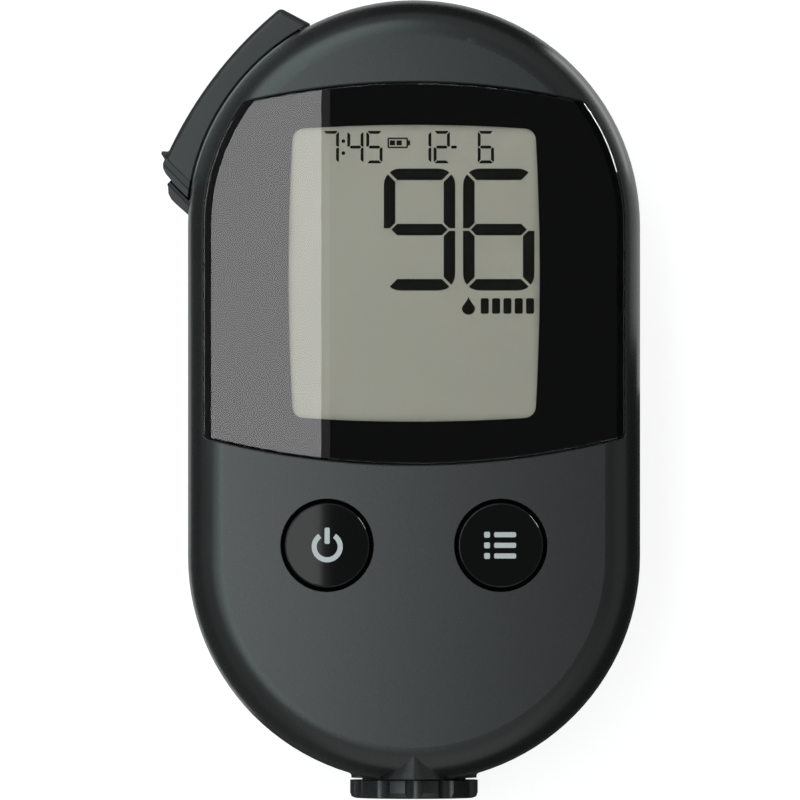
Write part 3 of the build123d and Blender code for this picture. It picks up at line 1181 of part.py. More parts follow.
def make_cocking_slide():
    thumb = block(-THUMB_HALF_W, THUMB_HALF_W, *THUMB_Y, THUMB_Z0, WALL + 0.3)
    thumb = fillet(thumb.edges().filter_by(Axis.Z), THUMB_CORNER_R)
    for i in range(THUMB_GROOVES):
        y = THUMB_Y[0] + THUMB_GROOVE_FROM_END + GRIP_PITCH * i
        thumb -= block(-THUMB_HALF_W + 1, THUMB_HALF_W - 1, y - GRIP_GROOVE_W / 2, y + GRIP_GROOVE_W / 2, -1,
                       THUMB_Z0 + THUMB_GROOVE_DEPTH)
    z0 = WALL + FIT_GAP
    flange = block(-SLIDE_FLANGE_HALF_W, SLIDE_FLANGE_HALF_W, *SLIDE_FLANGE_Y, z0, z0 + SLIDE_FLANGE_T)
    stem = block(-STEM_HALF_W, STEM_HALF_W, *STEM_Y, z0, STEM_TOP_Z)
    return thumb + flange + stem


def make_release_button():
    x, y = RELEASE_XY
    flange_z = WALL + FIT_GAP
    button = rod(x, y, RELEASE_R, THUMB_Z0, flange_z + RELEASE_FLANGE_T)
    button -= Pos(x, y, THUMB_Z0 + RELEASE_DISH_DEPTH - RELEASE_DISH_R) * Sphere(RELEASE_DISH_R)
    button += rod(x, y, RELEASE_R + 1.0, flange_z, flange_z + RELEASE_FLANGE_T)
    button += rod(x, y, RELEASE_R - 1.0, flange_z, flange_z + RELEASE_STEM_H)
    arm_z = flange_z + SLIDE_FLANGE_T + FIT_GAP + RELEASE_POST_GAP
    post_x = BARREL_R + RELEASE_POST_GAP
    y0, y1 = y - RELEASE_ARM_HALF_W, y + RELEASE_ARM_HALF_W
    button += block(post_x, x, y0, y1, arm_z, arm_z + RELEASE_ARM_T)
    post_top = LANCER_Z - RELEASE_ARM_T - RELEASE_TRAVEL
    return button + block(post_x, post_x + RELEASE_POST_T, y0, y1, arm_z, post_top)


def make_depth_dial():
    groove = NECK_R - SNAP_DEPTH + FIT_GAP
    snap_y = SNAP_Y - SNAP_W / 2
    rib = SNAP_W / 2 - FIT_GAP
    bend = DIAL_EDGE_R * (1 - sqrt(0.5))
    outer = [(NECK_R + FIT_GAP, DIAL_Y1), (DIAL_R, DIAL_Y1), (DIAL_R, DIAL_Y0 + DIAL_EDGE_R),
             (DIAL_R - bend, DIAL_Y0 + bend), (DIAL_R - DIAL_EDGE_R, DIAL_Y0)]
    mouth = [(DIAL_MOUTH_R + DIAL_MOUTH_CHAMFER, DIAL_Y0), (DIAL_MOUTH_R, DIAL_Y0 + DIAL_MOUTH_CHAMFER),
             (DIAL_MOUTH_R, DIAL_Y0 + DIAL_END_WALL)]
    bore = [(NECK_R + FIT_GAP, DIAL_Y0 + DIAL_END_WALL), (NECK_R + FIT_GAP, snap_y - rib),
            (groove, snap_y - rib), (groove, snap_y + rib), (NECK_R + FIT_GAP, snap_y + rib)]
    dial = turned_y(outer + mouth + bore)
    for i in range(DIAL_FLUTES):
        a = 2 * pi * i / DIAL_FLUTES
        dial -= rod_y(DIAL_Y0 - 1, DIAL_Y1 + 1, FLUTE_R, FLUTE_RING_R * sin(a),
                      LANCER_Z + FLUTE_RING_R * cos(a))
    return dial


def along_lancer(spring, y):
    """A spring made along Z, laid on the lancer's axis with its foot at y."""
    return Pos(0, y, LANCER_Z) * Rot(-90, 0, 0) * spring


def make_drive_spring():
    foot = PLUNGER_Y[1] + SHAFT_GAP
    length = BARREL_END_Y - BARREL_END_WALL - SHAFT_GAP - foot
    return along_lancer(coil(DRIVE_SPRING_R, DRIVE_SPRING_WIRE, length, DRIVE_SPRING_TURNS), foot)


def make_return_spring():
    foot = SPRING_STEP_Y + SHAFT_GAP
    length = PLUNGER_Y[0] - SHAFT_GAP - foot
    return along_lancer(coil(RETURN_SPRING_R, RETURN_SPRING_WIRE, length, RETURN_SPRING_TURNS), foot)


# ---------------------------------------------------------------- all nodes
NODES = {
    "front_cover": make_front_cover,
    "rear_cover": make_rear_cover,
    "display_lens": make_display_lens,
    "lens_mask": make_lens_mask,
    "lcd_cell": make_lcd_cell,
    "lcd_frame": make_lcd_frame,
    "zebra_strips": make_zebra_strips,
    "main_board": make_main_board,
    "board_components": make_board_components,
    "buzzer": make_buzzer,
    "keypad_membrane": make_keypad_membrane,
    "set_button": lambda: make_button(-BUTTON_X),
    "memory_button": lambda: make_button(BUTTON_X),
    "mid_frame": make_mid_frame,
    "case_screws": lambda: at_sites(case_screw(), case_screw_sites()),
    "board_screws": lambda: at_sites(board_screw(), BOARD_SCREW_SITES),
    "tip_shutter": make_tip_shutter,
    "shutter_thumb_grip": make_shutter_thumb_grip,
    "tip_finger_rest": make_tip_finger_rest,
    "cassette_base": make_cassette_base,
    "cassette_lid": make_cassette_lid,
    "tape_guide": make_tape_guide,
    "test_tape": make_test_tape,
    "supply_reel": lambda: make_reel(SUPPLY_XY, SUPPLY_FLANGE_R, SUPPLY_POST_R + SHAFT_GAP),
    "supply_tape_roll": lambda: make_tape_roll(SUPPLY_XY, SUPPLY_ROLL_R),
    "take_up_reel": lambda: make_reel(TAKE_UP_XY, TAKE_UP_FLANGE_R, SPINDLE_R + SHAFT_GAP),
    "take_up_tape_roll": lambda: make_tape_roll(TAKE_UP_XY, TAKE_UP_ROLL_R),
    "drive_gear": make_drive_gear,
    "motor_pinion": make_motor_pinion,
    "drive_motor": make_drive_motor,
    "optic_reader": make_optic_reader,
    "cassette_door": make_cassette_door,
    "door_hinge_pins": make_door_hinge_pins,
    "battery_door": make_battery_door,
    "lower_cell": lambda: make_cell(*cell_poles()[0]),
    "upper_cell": lambda: make_cell(*cell_poles()[1]),
    "battery_contacts": make_battery_contacts,
    "battery_springs": make_battery_springs,
    "lancer_barrel": make_lancer_barrel,
    "lancer_plunger": make_lancer_plunger,
    "lancet_body": make_lancet_body,
    "lancet_needle": make_lancet_needle,
    "drive_spring": make_drive_spring,
    "return_spring": make_return_spring,
    "cocking_slide": make_cocking_slide,
    "release_button": make_release_button,
    "depth_dial": make_depth_dial,
}

os.makedirs("parts", exist_ok=True)
for name, make in NODES.items():
    export_step(make(), f"parts/{name}.step")
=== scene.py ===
# %% [markdown]
# # A blood glucose meter with a built-in lancing device
#
# The solids of the meter, such as its case, lens, keys and reels, come from a CAD model and keep their
# shapes. This lesson gives each of them the finish that its real material has, adds the thin things
# that a CAD model leaves out, such as the digits of the display and the signs on the keys, and lights
# the meter as on a photographer's table.
#
# Everything is in metres, in the frame of the CAD model: x to the right, y towards the round end and z
# up out of the display. The meter lies on its back.

# %% Load the CAD model
import math

import bpy
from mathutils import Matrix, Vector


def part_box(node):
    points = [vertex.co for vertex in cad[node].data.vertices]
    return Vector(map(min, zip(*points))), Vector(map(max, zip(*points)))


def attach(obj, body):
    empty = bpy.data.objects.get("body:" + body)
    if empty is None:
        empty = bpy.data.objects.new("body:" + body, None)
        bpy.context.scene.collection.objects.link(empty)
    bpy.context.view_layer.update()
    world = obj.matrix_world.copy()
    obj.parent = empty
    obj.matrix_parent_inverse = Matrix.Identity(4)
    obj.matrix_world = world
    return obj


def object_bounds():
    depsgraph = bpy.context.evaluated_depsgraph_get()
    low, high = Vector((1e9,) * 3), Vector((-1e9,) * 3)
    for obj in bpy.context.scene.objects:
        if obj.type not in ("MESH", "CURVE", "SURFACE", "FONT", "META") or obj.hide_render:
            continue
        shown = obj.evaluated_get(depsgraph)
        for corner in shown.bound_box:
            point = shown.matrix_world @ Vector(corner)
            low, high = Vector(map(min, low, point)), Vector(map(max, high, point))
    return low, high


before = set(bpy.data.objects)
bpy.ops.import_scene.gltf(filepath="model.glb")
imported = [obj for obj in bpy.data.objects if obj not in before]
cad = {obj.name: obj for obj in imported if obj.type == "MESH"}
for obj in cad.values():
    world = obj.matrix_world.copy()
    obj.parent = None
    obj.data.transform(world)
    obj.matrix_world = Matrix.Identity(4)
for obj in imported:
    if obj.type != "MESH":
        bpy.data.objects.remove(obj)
cad_low, cad_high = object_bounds()
MM = 0.001
print("CAD nodes:", len(cad), "size in mm:", [round(v / MM, 2) for v in cad_high - cad_low])

# %% [markdown]
# ## The camera
#
# A product picture of something this flat is taken from straight above with a very long lens, so that
# the top and the foot of its sides fall almost on each other. The distance follows from the lens: the
# plane in which the keys and the case's shoulder lie is the one where the scale is exact.

# %% Camera straight above
FRAME_PIXELS = 800
PIXELS_PER_MM = 7.0625
SENSOR_MM = 36.0
LENS_MM = 800.0
SCALE_PLANE = 22 * MM
VIEW_CENTRE = (-1.98 * MM, -1.24 * MM)

view_width = FRAME_PIXELS / PIXELS_PER_MM * MM
camera_height = view_width * LENS_MM / SENSOR_MM + SCALE_PLANE
bpy.ops.object.camera_add(location=(*VIEW_CENTRE, camera_height), rotation=(0, 0, 0))
camera = bpy.context.object
camera.name = "copy_stand_camera"
camera.data.sensor_width = SENSOR_MM
camera.data.lens = LENS_MM
camera.data.clip_end = 50
bpy.context.scene.camera = camera
bpy.context.scene.view_settings.view_transform = "Standard"
print("camera height:", round(camera_height, 3), "m for a view of", round(view_width / MM, 1), "mm")

# %% [markdown]
# ## Colours and nodes
#
# Colours are written as the sRGB hex values that a paint program shows, and Blender works with linear
# light, so one function turns the first into the second. A material is a small graph of nodes, and one
# more function adds a node, sets it and links it, which keeps each recipe short enough to read. No
# moulding is quite one colour, quite level or equally glossy all over, so three more helpers hold what
# most recipes have: two close colours in soft patches, an uneven gloss and a fine grain.

# %% Helpers for colours and nodes
def linear(code):
    levels = [int(code[i : i + 2], 16) / 255 for i in (1, 3, 5)]
    curve = [v / 12.92 if v <= 0.04045 else ((v + 0.055) / 1.055) ** 2.4 for v in levels]
    return (*curve, 1.0)


def add_node(tree, kind, sockets=None, **settings):
    made = tree.nodes.new(kind)
    for name, value in settings.items():
        setattr(made, name, value)
    for name, value in (sockets or {}).items():
        if isinstance(value, bpy.types.NodeSocket):
            tree.links.new(value, made.inputs[name])
        else:
            made.inputs[name].default_value = value
    return made


def new_finish(name):
    finish = bpy.data.materials.new(name)
    finish.use_nodes = True
    finish.node_tree.nodes.clear()
    return finish, finish.node_tree


def per_size(size_mm):
    return 1 / (size_mm * MM)


def wave_scale(size_mm):
    """A wave node with this scale repeats after 2 pi times the size."""
    return per_size(size_mm) / 20


def mottled(tree, place, size_mm, detail, first, second):
    """Blends two close colours by a noise whose patches have about this size."""
    sockets = {"Vector": place, "Scale": per_size(size_mm), "Detail": detail}
    patches = add_node(tree, "ShaderNodeTexNoise", sockets).outputs["Fac"]
    colours = {0: patches, 6: linear(first), 7: linear(second)}
    return add_node(tree, "ShaderNodeMix", colours, data_type="RGBA").outputs[2]


def uneven_gloss(tree, place, size_mm, detail, span, levels):
    """Turns the span of a noise into two levels of roughness."""
    sockets = {"Vector": place, "Scale": per_size(size_mm), "Detail": detail}
    patches = add_node(tree, "ShaderNodeTexNoise", sockets).outputs["Fac"]
    sockets = dict(enumerate((patches, *span, *levels)))
    return add_node(tree, "ShaderNodeMapRange", sockets).outputs[0]


def grained(tree, place, size_mm, detail, strength, depth_mm, **normal):
    """Raises a grain of about this size and depth on the surface."""
    sockets = {"Vector": place, "Scale": per_size(size_mm), "Detail": detail}
    grains = add_node(tree, "ShaderNodeTexNoise", sockets).outputs["Fac"]
    sockets = {"Height": grains, "Strength": strength, "Distance": depth_mm * MM, **normal}
    return add_node(tree, "ShaderNodeBump", sockets).outputs[0]


def dress(finish, shader, *names):
    """Ends the graph with its shader, and gives the finish to the CAD nodes that are named."""
    add_node(finish.node_tree, "ShaderNodeOutputMaterial", {"Surface": shader.outputs[0]})
    for name in names:
        for slot in cad[name].material_slots:
            slot.material = finish
    print(finish.name, "->", ", ".join(names) or "its own piece")


# %% [markdown]
# ## The table
#
# The meter lies on a sheet of white card that runs out of sight on all sides. The card is lit like the
# rest, and part of its white is its own, seen by the camera and by mirrors and glass only, so that it
# reads as paper white without more light falling on the meter. The soft shadow under the case stays.

# %% White card under the meter
CARD_RADIUS = 12
CARD_Z = -0.05 * MM
OWN_WHITE = 0.83


def add_circle(vertices, radius, height=0, fill="NGON"):
    bpy.ops.object.select_all(action="DESELECT")
    bpy.ops.mesh.primitive_circle_add(
        vertices=vertices, radius=radius, fill_type=fill, location=(0, 0, height)
    )
    return bpy.context.object


card = add_circle(96, CARD_RADIUS, CARD_Z)
card.name = "white_card"

paper_finish, tree = new_finish("matt_white_card")
rays = add_node(tree, "ShaderNodeLightPath").outputs
seen = add_node(
    tree, "ShaderNodeMath", {0: rays["Is Camera Ray"], 1: rays["Is Glossy Ray"]}, operation="MAXIMUM"
).outputs[0]
seen = add_node(
    tree, "ShaderNodeMath", {0: seen, 1: rays["Is Transmission Ray"]}, operation="MAXIMUM"
).outputs[0]
own_white = add_node(tree, "ShaderNodeMath", {0: seen, 1: OWN_WHITE}, operation="MULTIPLY").outputs[0]
shell = add_node(
    tree,
    "ShaderNodeBsdfPrincipled",
    {
        "Base Color": linear("#a2a3a2"),
        "Roughness": 0.9,
        "Specular IOR Level": 0.1,
        "Emission Color": linear("#ffffff"),
        "Emission Strength": own_white,
    },
)
dress(paper_finish, shell)
card.data.materials.append(paper_finish)
print("the card is", round(card.dimensions.x, 1), "m across")

# %% [markdown]
# ## The light
#
# The studio has a dim, even room round the table, darkest straight overhead where the camera hangs.
# Polished black plastic shows what it mirrors and nothing else, so a narrow soft box hangs to the left
# of the lens, and its right-hand edge draws the straight line that divides the window and the left
# key. Wings carry the box on towards the head, the foot and the left.

# %% Room light, dark overhead
ROOM_LEVEL = 0.42
OVERHEAD_LEVEL = 0.12
DARK_CONE = (math.cos(math.radians(42)), math.cos(math.radians(16)))

room = bpy.data.worlds.new("studio_room")
bpy.context.scene.world = room
room.use_nodes = True
tree = room.node_tree
tree.nodes.clear()
looking = add_node(tree, "ShaderNodeTexCoord").outputs["Generated"]
upward = add_node(tree, "ShaderNodeSeparateXYZ", {0: looking}).outputs["Z"]
level = add_node(
    tree,
    "ShaderNodeMapRange",
    {0: upward, 1: DARK_CONE[0], 2: DARK_CONE[1], 3: ROOM_LEVEL, 4: OVERHEAD_LEVEL},
    interpolation_type="SMOOTHSTEP",
).outputs[0]
glow = add_node(tree, "ShaderNodeBackground", {"Color": linear("#fbffff"), "Strength": level})
add_node(tree, "ShaderNodeOutputWorld", {"Surface": glow.outputs[0]})
print("room level", ROOM_LEVEL, "and overhead", OVERHEAD_LEVEL)


# %% Soft boxes
def soft_box(name, size, place, aim, radiance, tint="#ffffff"):
    bpy.ops.object.light_add(type="AREA", location=place)
    lamp = bpy.context.object
    lamp.name = name
    lamp.data.shape = "RECTANGLE"
    lamp.data.size = size[0]
    lamp.data.size_y = size[1]
    lamp.data.energy = radiance * math.pi * size[0] * size[1]
    lamp.data.color = linear(tint)[:3]
    lamp.visible_camera = False
    direction = Vector(aim) - Vector(place)
    lamp.rotation_euler = direction.to_track_quat("-Z", "Y").to_euler()
    print(name, "radiance", radiance, "power", round(lamp.data.energy, 2), "W")
    return lamp


# %% The box overhead and its wings
# The first line is where the bright box ends in the window, the second where its dim lip ends.
GLINT_LINE = -12.9 * MM
DIM_LINE = -11.7 * MM
BOX_HEIGHT = 0.30
CORE_SIZE = (0.026, 0.13)
SIDE_WING = 0.05
FAR_WING = 0.13
TOP_WING = (0.40, 0.38)
FOOT_WING = 0.04
BOX_LEVEL = 4.5
LIP_LEVEL = 0.4
TOP_LEVEL = 0.6 * BOX_LEVEL
FAR_LEVEL = 0.35 * BOX_LEVEL
WING_TINT = "#ebffff"
parallax = 1 + BOX_HEIGHT / camera_height
box_edge = GLINT_LINE * parallax
dim_edge = DIM_LINE * parallax
hang = cad_high.z + BOX_HEIGHT


def overhead_box(name, left, right, low, high, radiance, tint="#ffffff"):
    middle = ((left + right) / 2, (low + high) / 2)
    return soft_box(
        name, (right - left, high - low), (*middle, hang), (*middle, 0), radiance, tint
    )


core_left = box_edge - CORE_SIZE[0]
wing_left = core_left - SIDE_WING
top_left = box_edge - TOP_WING[0]
core_end = CORE_SIZE[1] / 2
top_end = core_end + TOP_WING[1]
foot_end = -core_end - FOOT_WING
overhead_box("box_core", core_left, box_edge, -core_end, core_end, BOX_LEVEL)
overhead_box("box_lip", box_edge, dim_edge, -core_end, core_end, LIP_LEVEL)
overhead_box("box_side", wing_left, core_left, foot_end, core_end, BOX_LEVEL, WING_TINT)
overhead_box("box_foot", core_left, box_edge, foot_end, -core_end, BOX_LEVEL, WING_TINT)
overhead_box("box_top", top_left, box_edge, core_end, top_end, TOP_LEVEL, WING_TINT)

# %% [markdown]
# A low strip behind the upper right corner puts the grey rim on the case's shoulder. Two wide, weak
# boxes beyond the foot and the head fill the flanks, and a weak wing hangs far out on the left. Two
# lights fall on the lens and the keys only, and draw thin lines along the lens's long bevels.

# %% Rim strip, fills and edge lights
RIM_LEVEL = 3.0
FOOT_FILL_LEVEL = 0.46
HEAD_FILL_LEVEL = 0.13
GLINT_LEVEL = 26.0
EDGE_LINE_LEVEL = 2.0
FILL_SIZE = (0.55, 0.75)
RIGHT_BEVEL = (0.026, 0.035, 0.027)
LEFT_BEVEL = (-0.027, 0.020, 0.027)


def lights_only(lamp, *nodes):
    group = bpy.data.collections.new(f"{lamp.name}_pieces")
    for node in nodes:
        group.objects.link(bpy.data.objects[node])
    lamp.light_linking.receiver_collection = group


soft_box("rim_strip", (0.045, 0.012), (0.052, 0.057, 0.009), (0.026, 0.038, 0.009), RIM_LEVEL)
soft_box("foot_fill", FILL_SIZE, (0.02, -0.42, 0.42), (0, -0.05, 0.02), FOOT_FILL_LEVEL)
soft_box("head_fill", FILL_SIZE, (0.02, 0.44, 0.42), (0, 0.05, 0.02), HEAD_FILL_LEVEL)
far_left = wing_left - FAR_WING
overhead_box("box_far", far_left, wing_left, foot_end, core_end, FAR_LEVEL, WING_TINT)
glint = soft_box("edge_glint", (0.10, 0.05), (0.242, 0.140, 0.155), RIGHT_BEVEL, GLINT_LEVEL)
line = soft_box(
    "edge_line_left", (0.30, 0.06), (-0.253, 0.020, 0.137), LEFT_BEVEL, EDGE_LINE_LEVEL
)
for lamp in (glint, line):
    lights_only(lamp, "display_lens", "set_button", "memory_button")

# %% [markdown]
# Cards stand round the meter, just outside the picture, where only reflections see them. They keep
# the white table out of the shoulders of a dark object, which would otherwise look grey and washed out
# there. The cards are nearly black on the right and grey on the left, so the window's edge stays just
# visible on that side. The lower ring has a gap towards the upper right and leaves a bright rim there.
# One more card lies flat at the lower right, where the steep end of the shoulder mirrors the table.

# %% Cards round the meter
CARD_REACH = (60 * MM, 84 * MM)
CARD_STEP = 27 * MM
CARD_TOP = 34 * MM
CARD_GREYS = (0.6, 0.09)
OPEN_SIDE = (5, 62)
FLAT_CARD_Z = 0.3 * MM
FLAT_CARD_GREY = (0.17, 0.17, 0.17, 1)
FLAT_CARD_GAP = (0, 240)
ring_finish, tree = new_finish("matt_card_grey_to_black")
place = add_node(tree, "ShaderNodeTexCoord").outputs["Object"]
sideways = add_node(tree, "ShaderNodeSeparateXYZ", {0: place}).outputs["X"]
shade = add_node(
    tree,
    "ShaderNodeMapRange",
    {0: sideways, 1: -CARD_REACH[0] / 2, 2: 0.0, 3: CARD_GREYS[0], 4: CARD_GREYS[1]},
    interpolation_type="SMOOTHSTEP",
).outputs[0]
dress(ring_finish, add_node(tree, "ShaderNodeBsdfDiffuse", {"Color": shade}))
flat_finish, tree = new_finish("matt_card_dark_grey")
dress(flat_finish, add_node(tree, "ShaderNodeBsdfDiffuse", {"Color": FLAT_CARD_GREY}))


def cut_between(piece, low, high):
    """Deletes the faces between two angles about z, in degrees from the x axis."""
    bpy.ops.object.mode_set(mode="EDIT")
    bpy.ops.mesh.select_mode(type="FACE")
    bpy.ops.mesh.select_all(action="DESELECT")
    bpy.ops.object.mode_set(mode="OBJECT")
    for face in piece.data.polygons:
        turn = math.degrees(math.atan2(face.center.y, face.center.x)) % 360
        face.select = low < turn < high
    bpy.ops.object.mode_set(mode="EDIT")
    bpy.ops.mesh.delete(type="FACE")
    bpy.ops.mesh.select_mode(type="VERT")
    bpy.ops.object.mode_set(mode="OBJECT")


def finish_card(card, name, finish):
    card.name = name
    card.scale = (*CARD_REACH, 1)
    bpy.ops.object.transform_apply(location=True, rotation=False, scale=True)
    card.data.materials.append(finish)
    card.visible_camera = False
    card.visible_diffuse = False
    card.visible_shadow = False
    card.visible_transmission = False
    print(name, "has", len(card.data.polygons), "faces")


def ring_of_cards(name, low, high):
    bpy.ops.object.select_all(action="DESELECT")
    bpy.ops.mesh.primitive_cylinder_add(
        vertices=72,
        radius=1,
        depth=high - low,
        end_fill_type="NOTHING",
        location=(0, 0, (low + high) / 2),
    )
    finish_card(bpy.context.object, name, ring_finish)
    return bpy.context.object


cut_between(ring_of_cards("cards_low", 0, CARD_STEP), *OPEN_SIDE)
ring_of_cards("cards_high", CARD_STEP, CARD_TOP)
flat_card = add_circle(72, 1, FLAT_CARD_Z, fill="TRIFAN")
finish_card(flat_card, "card_flat", flat_finish)
cut_between(flat_card, *FLAT_CARD_GAP)

# %% [markdown]
# ## The case
#
# Both halves, the cassette door and the battery door are moulded from one dark, cool grey PC/ABS. The
# mould is spark-eroded, which leaves a fine, even, matt grain that rounds the light off softly. Noise
# with features of a few tenths of a millimetre drives a shallow bump and the gloss, and a slower noise
# lets the colour vary a little, as on any moulding.

# %% Rims of a fine-grained moulding
# The eye sees a thin dark outline. Grain hides its own far side at a grazing view, so a real moulding
# never turns mirror bright at its rim as a smooth ball does.
RIM_SPAN = (0.55, 0.86)
FRONT_SHINE = 0.46
SHUTTER_SHINE = 0.25
RIM_SHINE = 0.03


def soften_rim(tree, shell, front=FRONT_SHINE):
    facing = add_node(tree, "ShaderNodeLayerWeight", {"Blend": 0.5}).outputs["Facing"]
    rim = add_node(
        tree, "ShaderNodeMapRange", {0: facing, 1: RIM_SPAN[0], 2: RIM_SPAN[1], 3: front, 4: RIM_SHINE}
    ).outputs[0]
    tree.links.new(rim, shell.inputs["Specular IOR Level"])


# %% Spark-eroded PC/ABS
# The eye sees a soft dark shell whose lights melt into each other. The true grain of 0.05 mm doesn't
# show at this distance, so it is drawn at 0.25 mm.
GRAIN_MM = 0.25
case_finish, tree = new_finish("pc_abs_spark_eroded_dark_grey")
place = add_node(tree, "ShaderNodeTexCoord").outputs["Object"]
grain = add_node(
    tree,
    "ShaderNodeTexNoise",
    {"Vector": place, "Scale": per_size(GRAIN_MM), "Detail": 3.0, "Roughness": 0.6},
).outputs["Fac"]
tone = mottled(tree, place, 9.0, 2.0, "#151616", "#191a1a")
# The eye sees the shell's edge a little lighter beside the shutter, and a thin light line along that
# edge. Both are painted light in the base colour: a painted reflection and a painted highlight. Each
# band has its full colour up to one height in mm and ends at another.
ROUND_END_Y = 23.35 * MM
PAINTED_LIGHT_FROM_Z = 23.2 * MM
PAINTED_LIGHT_TURN = math.radians(146)
PAINTED_LIGHT_HALF = (math.radians(19), math.radians(25))
PAINTED_LIGHT_BANDS = ((24.6, 27.6, "#37393a"), (24.2, 24.7, "#8a8e8e"))
from_end = add_node(
    tree, "ShaderNodeVectorMath", {0: place, 1: (0, ROUND_END_Y, 0)}, operation="SUBTRACT"
).outputs[0]
sides = add_node(tree, "ShaderNodeSeparateXYZ", {0: from_end}).outputs
turn = add_node(tree, "ShaderNodeMath", {0: sides["Y"], 1: sides["X"]}, operation="ARCTAN2").outputs[0]
away = add_node(tree, "ShaderNodeMath", {0: turn, 1: PAINTED_LIGHT_TURN}, operation="SUBTRACT").outputs[0]
away = add_node(tree, "ShaderNodeMath", {0: away}, operation="ABSOLUTE").outputs[0]
along = add_node(
    tree, "ShaderNodeMapRange", {0: away, 1: PAINTED_LIGHT_HALF[0], 2: PAINTED_LIGHT_HALF[1], 3: 1.0, 4: 0.0}
).outputs[0]
above = add_node(
    tree, "ShaderNodeMath", {0: sides["Z"], 1: PAINTED_LIGHT_FROM_Z}, operation="GREATER_THAN"
).outputs[0]
beside = add_node(tree, "ShaderNodeMath", {0: along, 1: above}, operation="MULTIPLY").outputs[0]
# Each band mixes painted light, a painted reflection or a painted highlight, into the shell's colour.
for low_z, high_z, colour in PAINTED_LIGHT_BANDS:
    low = add_node(
        tree,
        "ShaderNodeMapRange",
        {0: sides["Z"], 1: low_z * MM, 2: high_z * MM, 3: 1.0, 4: 0.0},
        interpolation_type="SMOOTHSTEP",
    ).outputs[0]
    painted_light_share = add_node(tree, "ShaderNodeMath", {0: beside, 1: low}, operation="MULTIPLY").outputs[0]
    tone = add_node(
        tree, "ShaderNodeMix", {0: painted_light_share, 6: tone, 7: linear(colour)}, data_type="RGBA"
    ).outputs[2]
gloss = add_node(tree, "ShaderNodeMapRange", {0: grain, 1: 0.3, 2: 0.7, 3: 0.27, 4: 0.29}).outputs[0]
edges = add_node(tree, "ShaderNodeBevel", {"Radius": 0.1 * MM}, samples=4).outputs[0]
bump = add_node(
    tree, "ShaderNodeBump", {"Height": grain, "Strength": 0.035, "Distance": 0.006 * MM, "Normal": edges}
).outputs[0]
shell = add_node(
    tree,
    "ShaderNodeBsdfPrincipled",
    {"Base Color": tone, "Roughness": gloss, "IOR": 1.5, "Normal": bump},
)
soften_rim(tree, shell)
dress(case_finish, shell, "front_cover", "rear_cover", "cassette_door", "battery_door")

# %% [markdown]
# The shutter over the test tip, its grip and the finger rest are plain ABS from a smoother tool: a
# neutral, slightly warmer grey with a tighter gloss than the shell.

# %% Fine-grained ABS of the shutter
# The eye sees a flat satin slide. Its grain is finer than the shell's.
shutter_finish, tree = new_finish("abs_fine_grain_neutral_grey")
place = add_node(tree, "ShaderNodeTexCoord").outputs["Object"]
tone = mottled(tree, place, 14.0, 1.0, "#2b2a2b", "#302f30")
edges = add_node(tree, "ShaderNodeBevel", {"Radius": 0.15 * MM}, samples=4).outputs[0]
bump = grained(tree, place, 0.18, 2.0, 0.1, 0.004, Normal=edges)
shell = add_node(
    tree, "ShaderNodeBsdfPrincipled", {"Base Color": tone, "Roughness": 0.34, "Normal": bump}
)
soften_rim(tree, shell, SHUTTER_SHINE)
dress(shutter_finish, shell, "tip_shutter", "shutter_thumb_grip", "tip_finger_rest")

# %% [markdown]
# The depth dial, the cocking slide and the release button are handled most. They are moulded in a hard
# black ABS with a satin face that throws a clear line of light from every flute and edge.

# %% Satin black ABS of the dial
# The eye sees crisp light and dark flutes.
dial_finish, tree = new_finish("abs_satin_black")
place = add_node(tree, "ShaderNodeTexCoord").outputs["Object"]
gloss = uneven_gloss(tree, place, 2.5, 3.0, (0.35, 0.65), (0.26, 0.36))
bump = grained(tree, place, 0.2, 2.0, 0.2, 0.004)
shell = add_node(
    tree,
    "ShaderNodeBsdfPrincipled",
    {"Base Color": linear("#1b1d1d"), "Roughness": gloss, "IOR": 1.52, "Normal": bump},
)
soften_rim(tree, shell)
dress(dial_finish, shell, "depth_dial", "cocking_slide", "release_button")

# %% [markdown]
# ## The keys
#
# The two keys are polished black ABS with a flat face and a soft crown round it. A mirror-black
# plastic shows almost nothing of its own, so its roughness is low and only a very slow waviness breaks
# the reflection.

# %% Polished black ABS
# The eye sees a black mirror. The level face on top and the bevel round it are polished, the bevel
# mirrors more than the face, and the flange below is left as moulded.
FACE_UPRIGHT = (0.95, 0.97)
BEVEL_UPRIGHT = (0.86, 0.94)
FLANGE_BELOW_TOP = (0.9 * MM, 0.6 * MM)
POLISH = 0.03
AS_MOULDED = 0.4
FLANGE_MIRROR = 0.05
FACE_MIRROR = 0.16
BEVEL_MIRROR = 0.35
key_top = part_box("set_button")[1].z
key_finish, tree = new_finish("abs_polished_black")
place = add_node(tree, "ShaderNodeTexCoord").outputs["Object"]
height = add_node(tree, "ShaderNodeSeparateXYZ", {0: place}).outputs["Z"]
facing = add_node(tree, "ShaderNodeNewGeometry").outputs["Normal"]
upright = add_node(tree, "ShaderNodeSeparateXYZ", {0: facing}).outputs["Z"]
face = add_node(
    tree, "ShaderNodeMapRange", {0: upright, 1: FACE_UPRIGHT[0], 2: FACE_UPRIGHT[1]}
).outputs[0]
bevel = add_node(
    tree, "ShaderNodeMapRange", {0: upright, 1: BEVEL_UPRIGHT[0], 2: BEVEL_UPRIGHT[1], 3: 1.0, 4: 0.0}
).outputs[0]
flat = add_node(tree, "ShaderNodeMix", {0: face, 4: facing, 5: (0, 0, 1)}, data_type="VECTOR").outputs[1]
polished = add_node(tree, "ShaderNodeMath", {0: face, 1: bevel}, operation="MAXIMUM").outputs[0]
level = add_node(tree, "ShaderNodeMapRange", {0: polished, 3: AS_MOULDED, 4: POLISH}).outputs[0]
flange_edge = [key_top - below for below in FLANGE_BELOW_TOP]
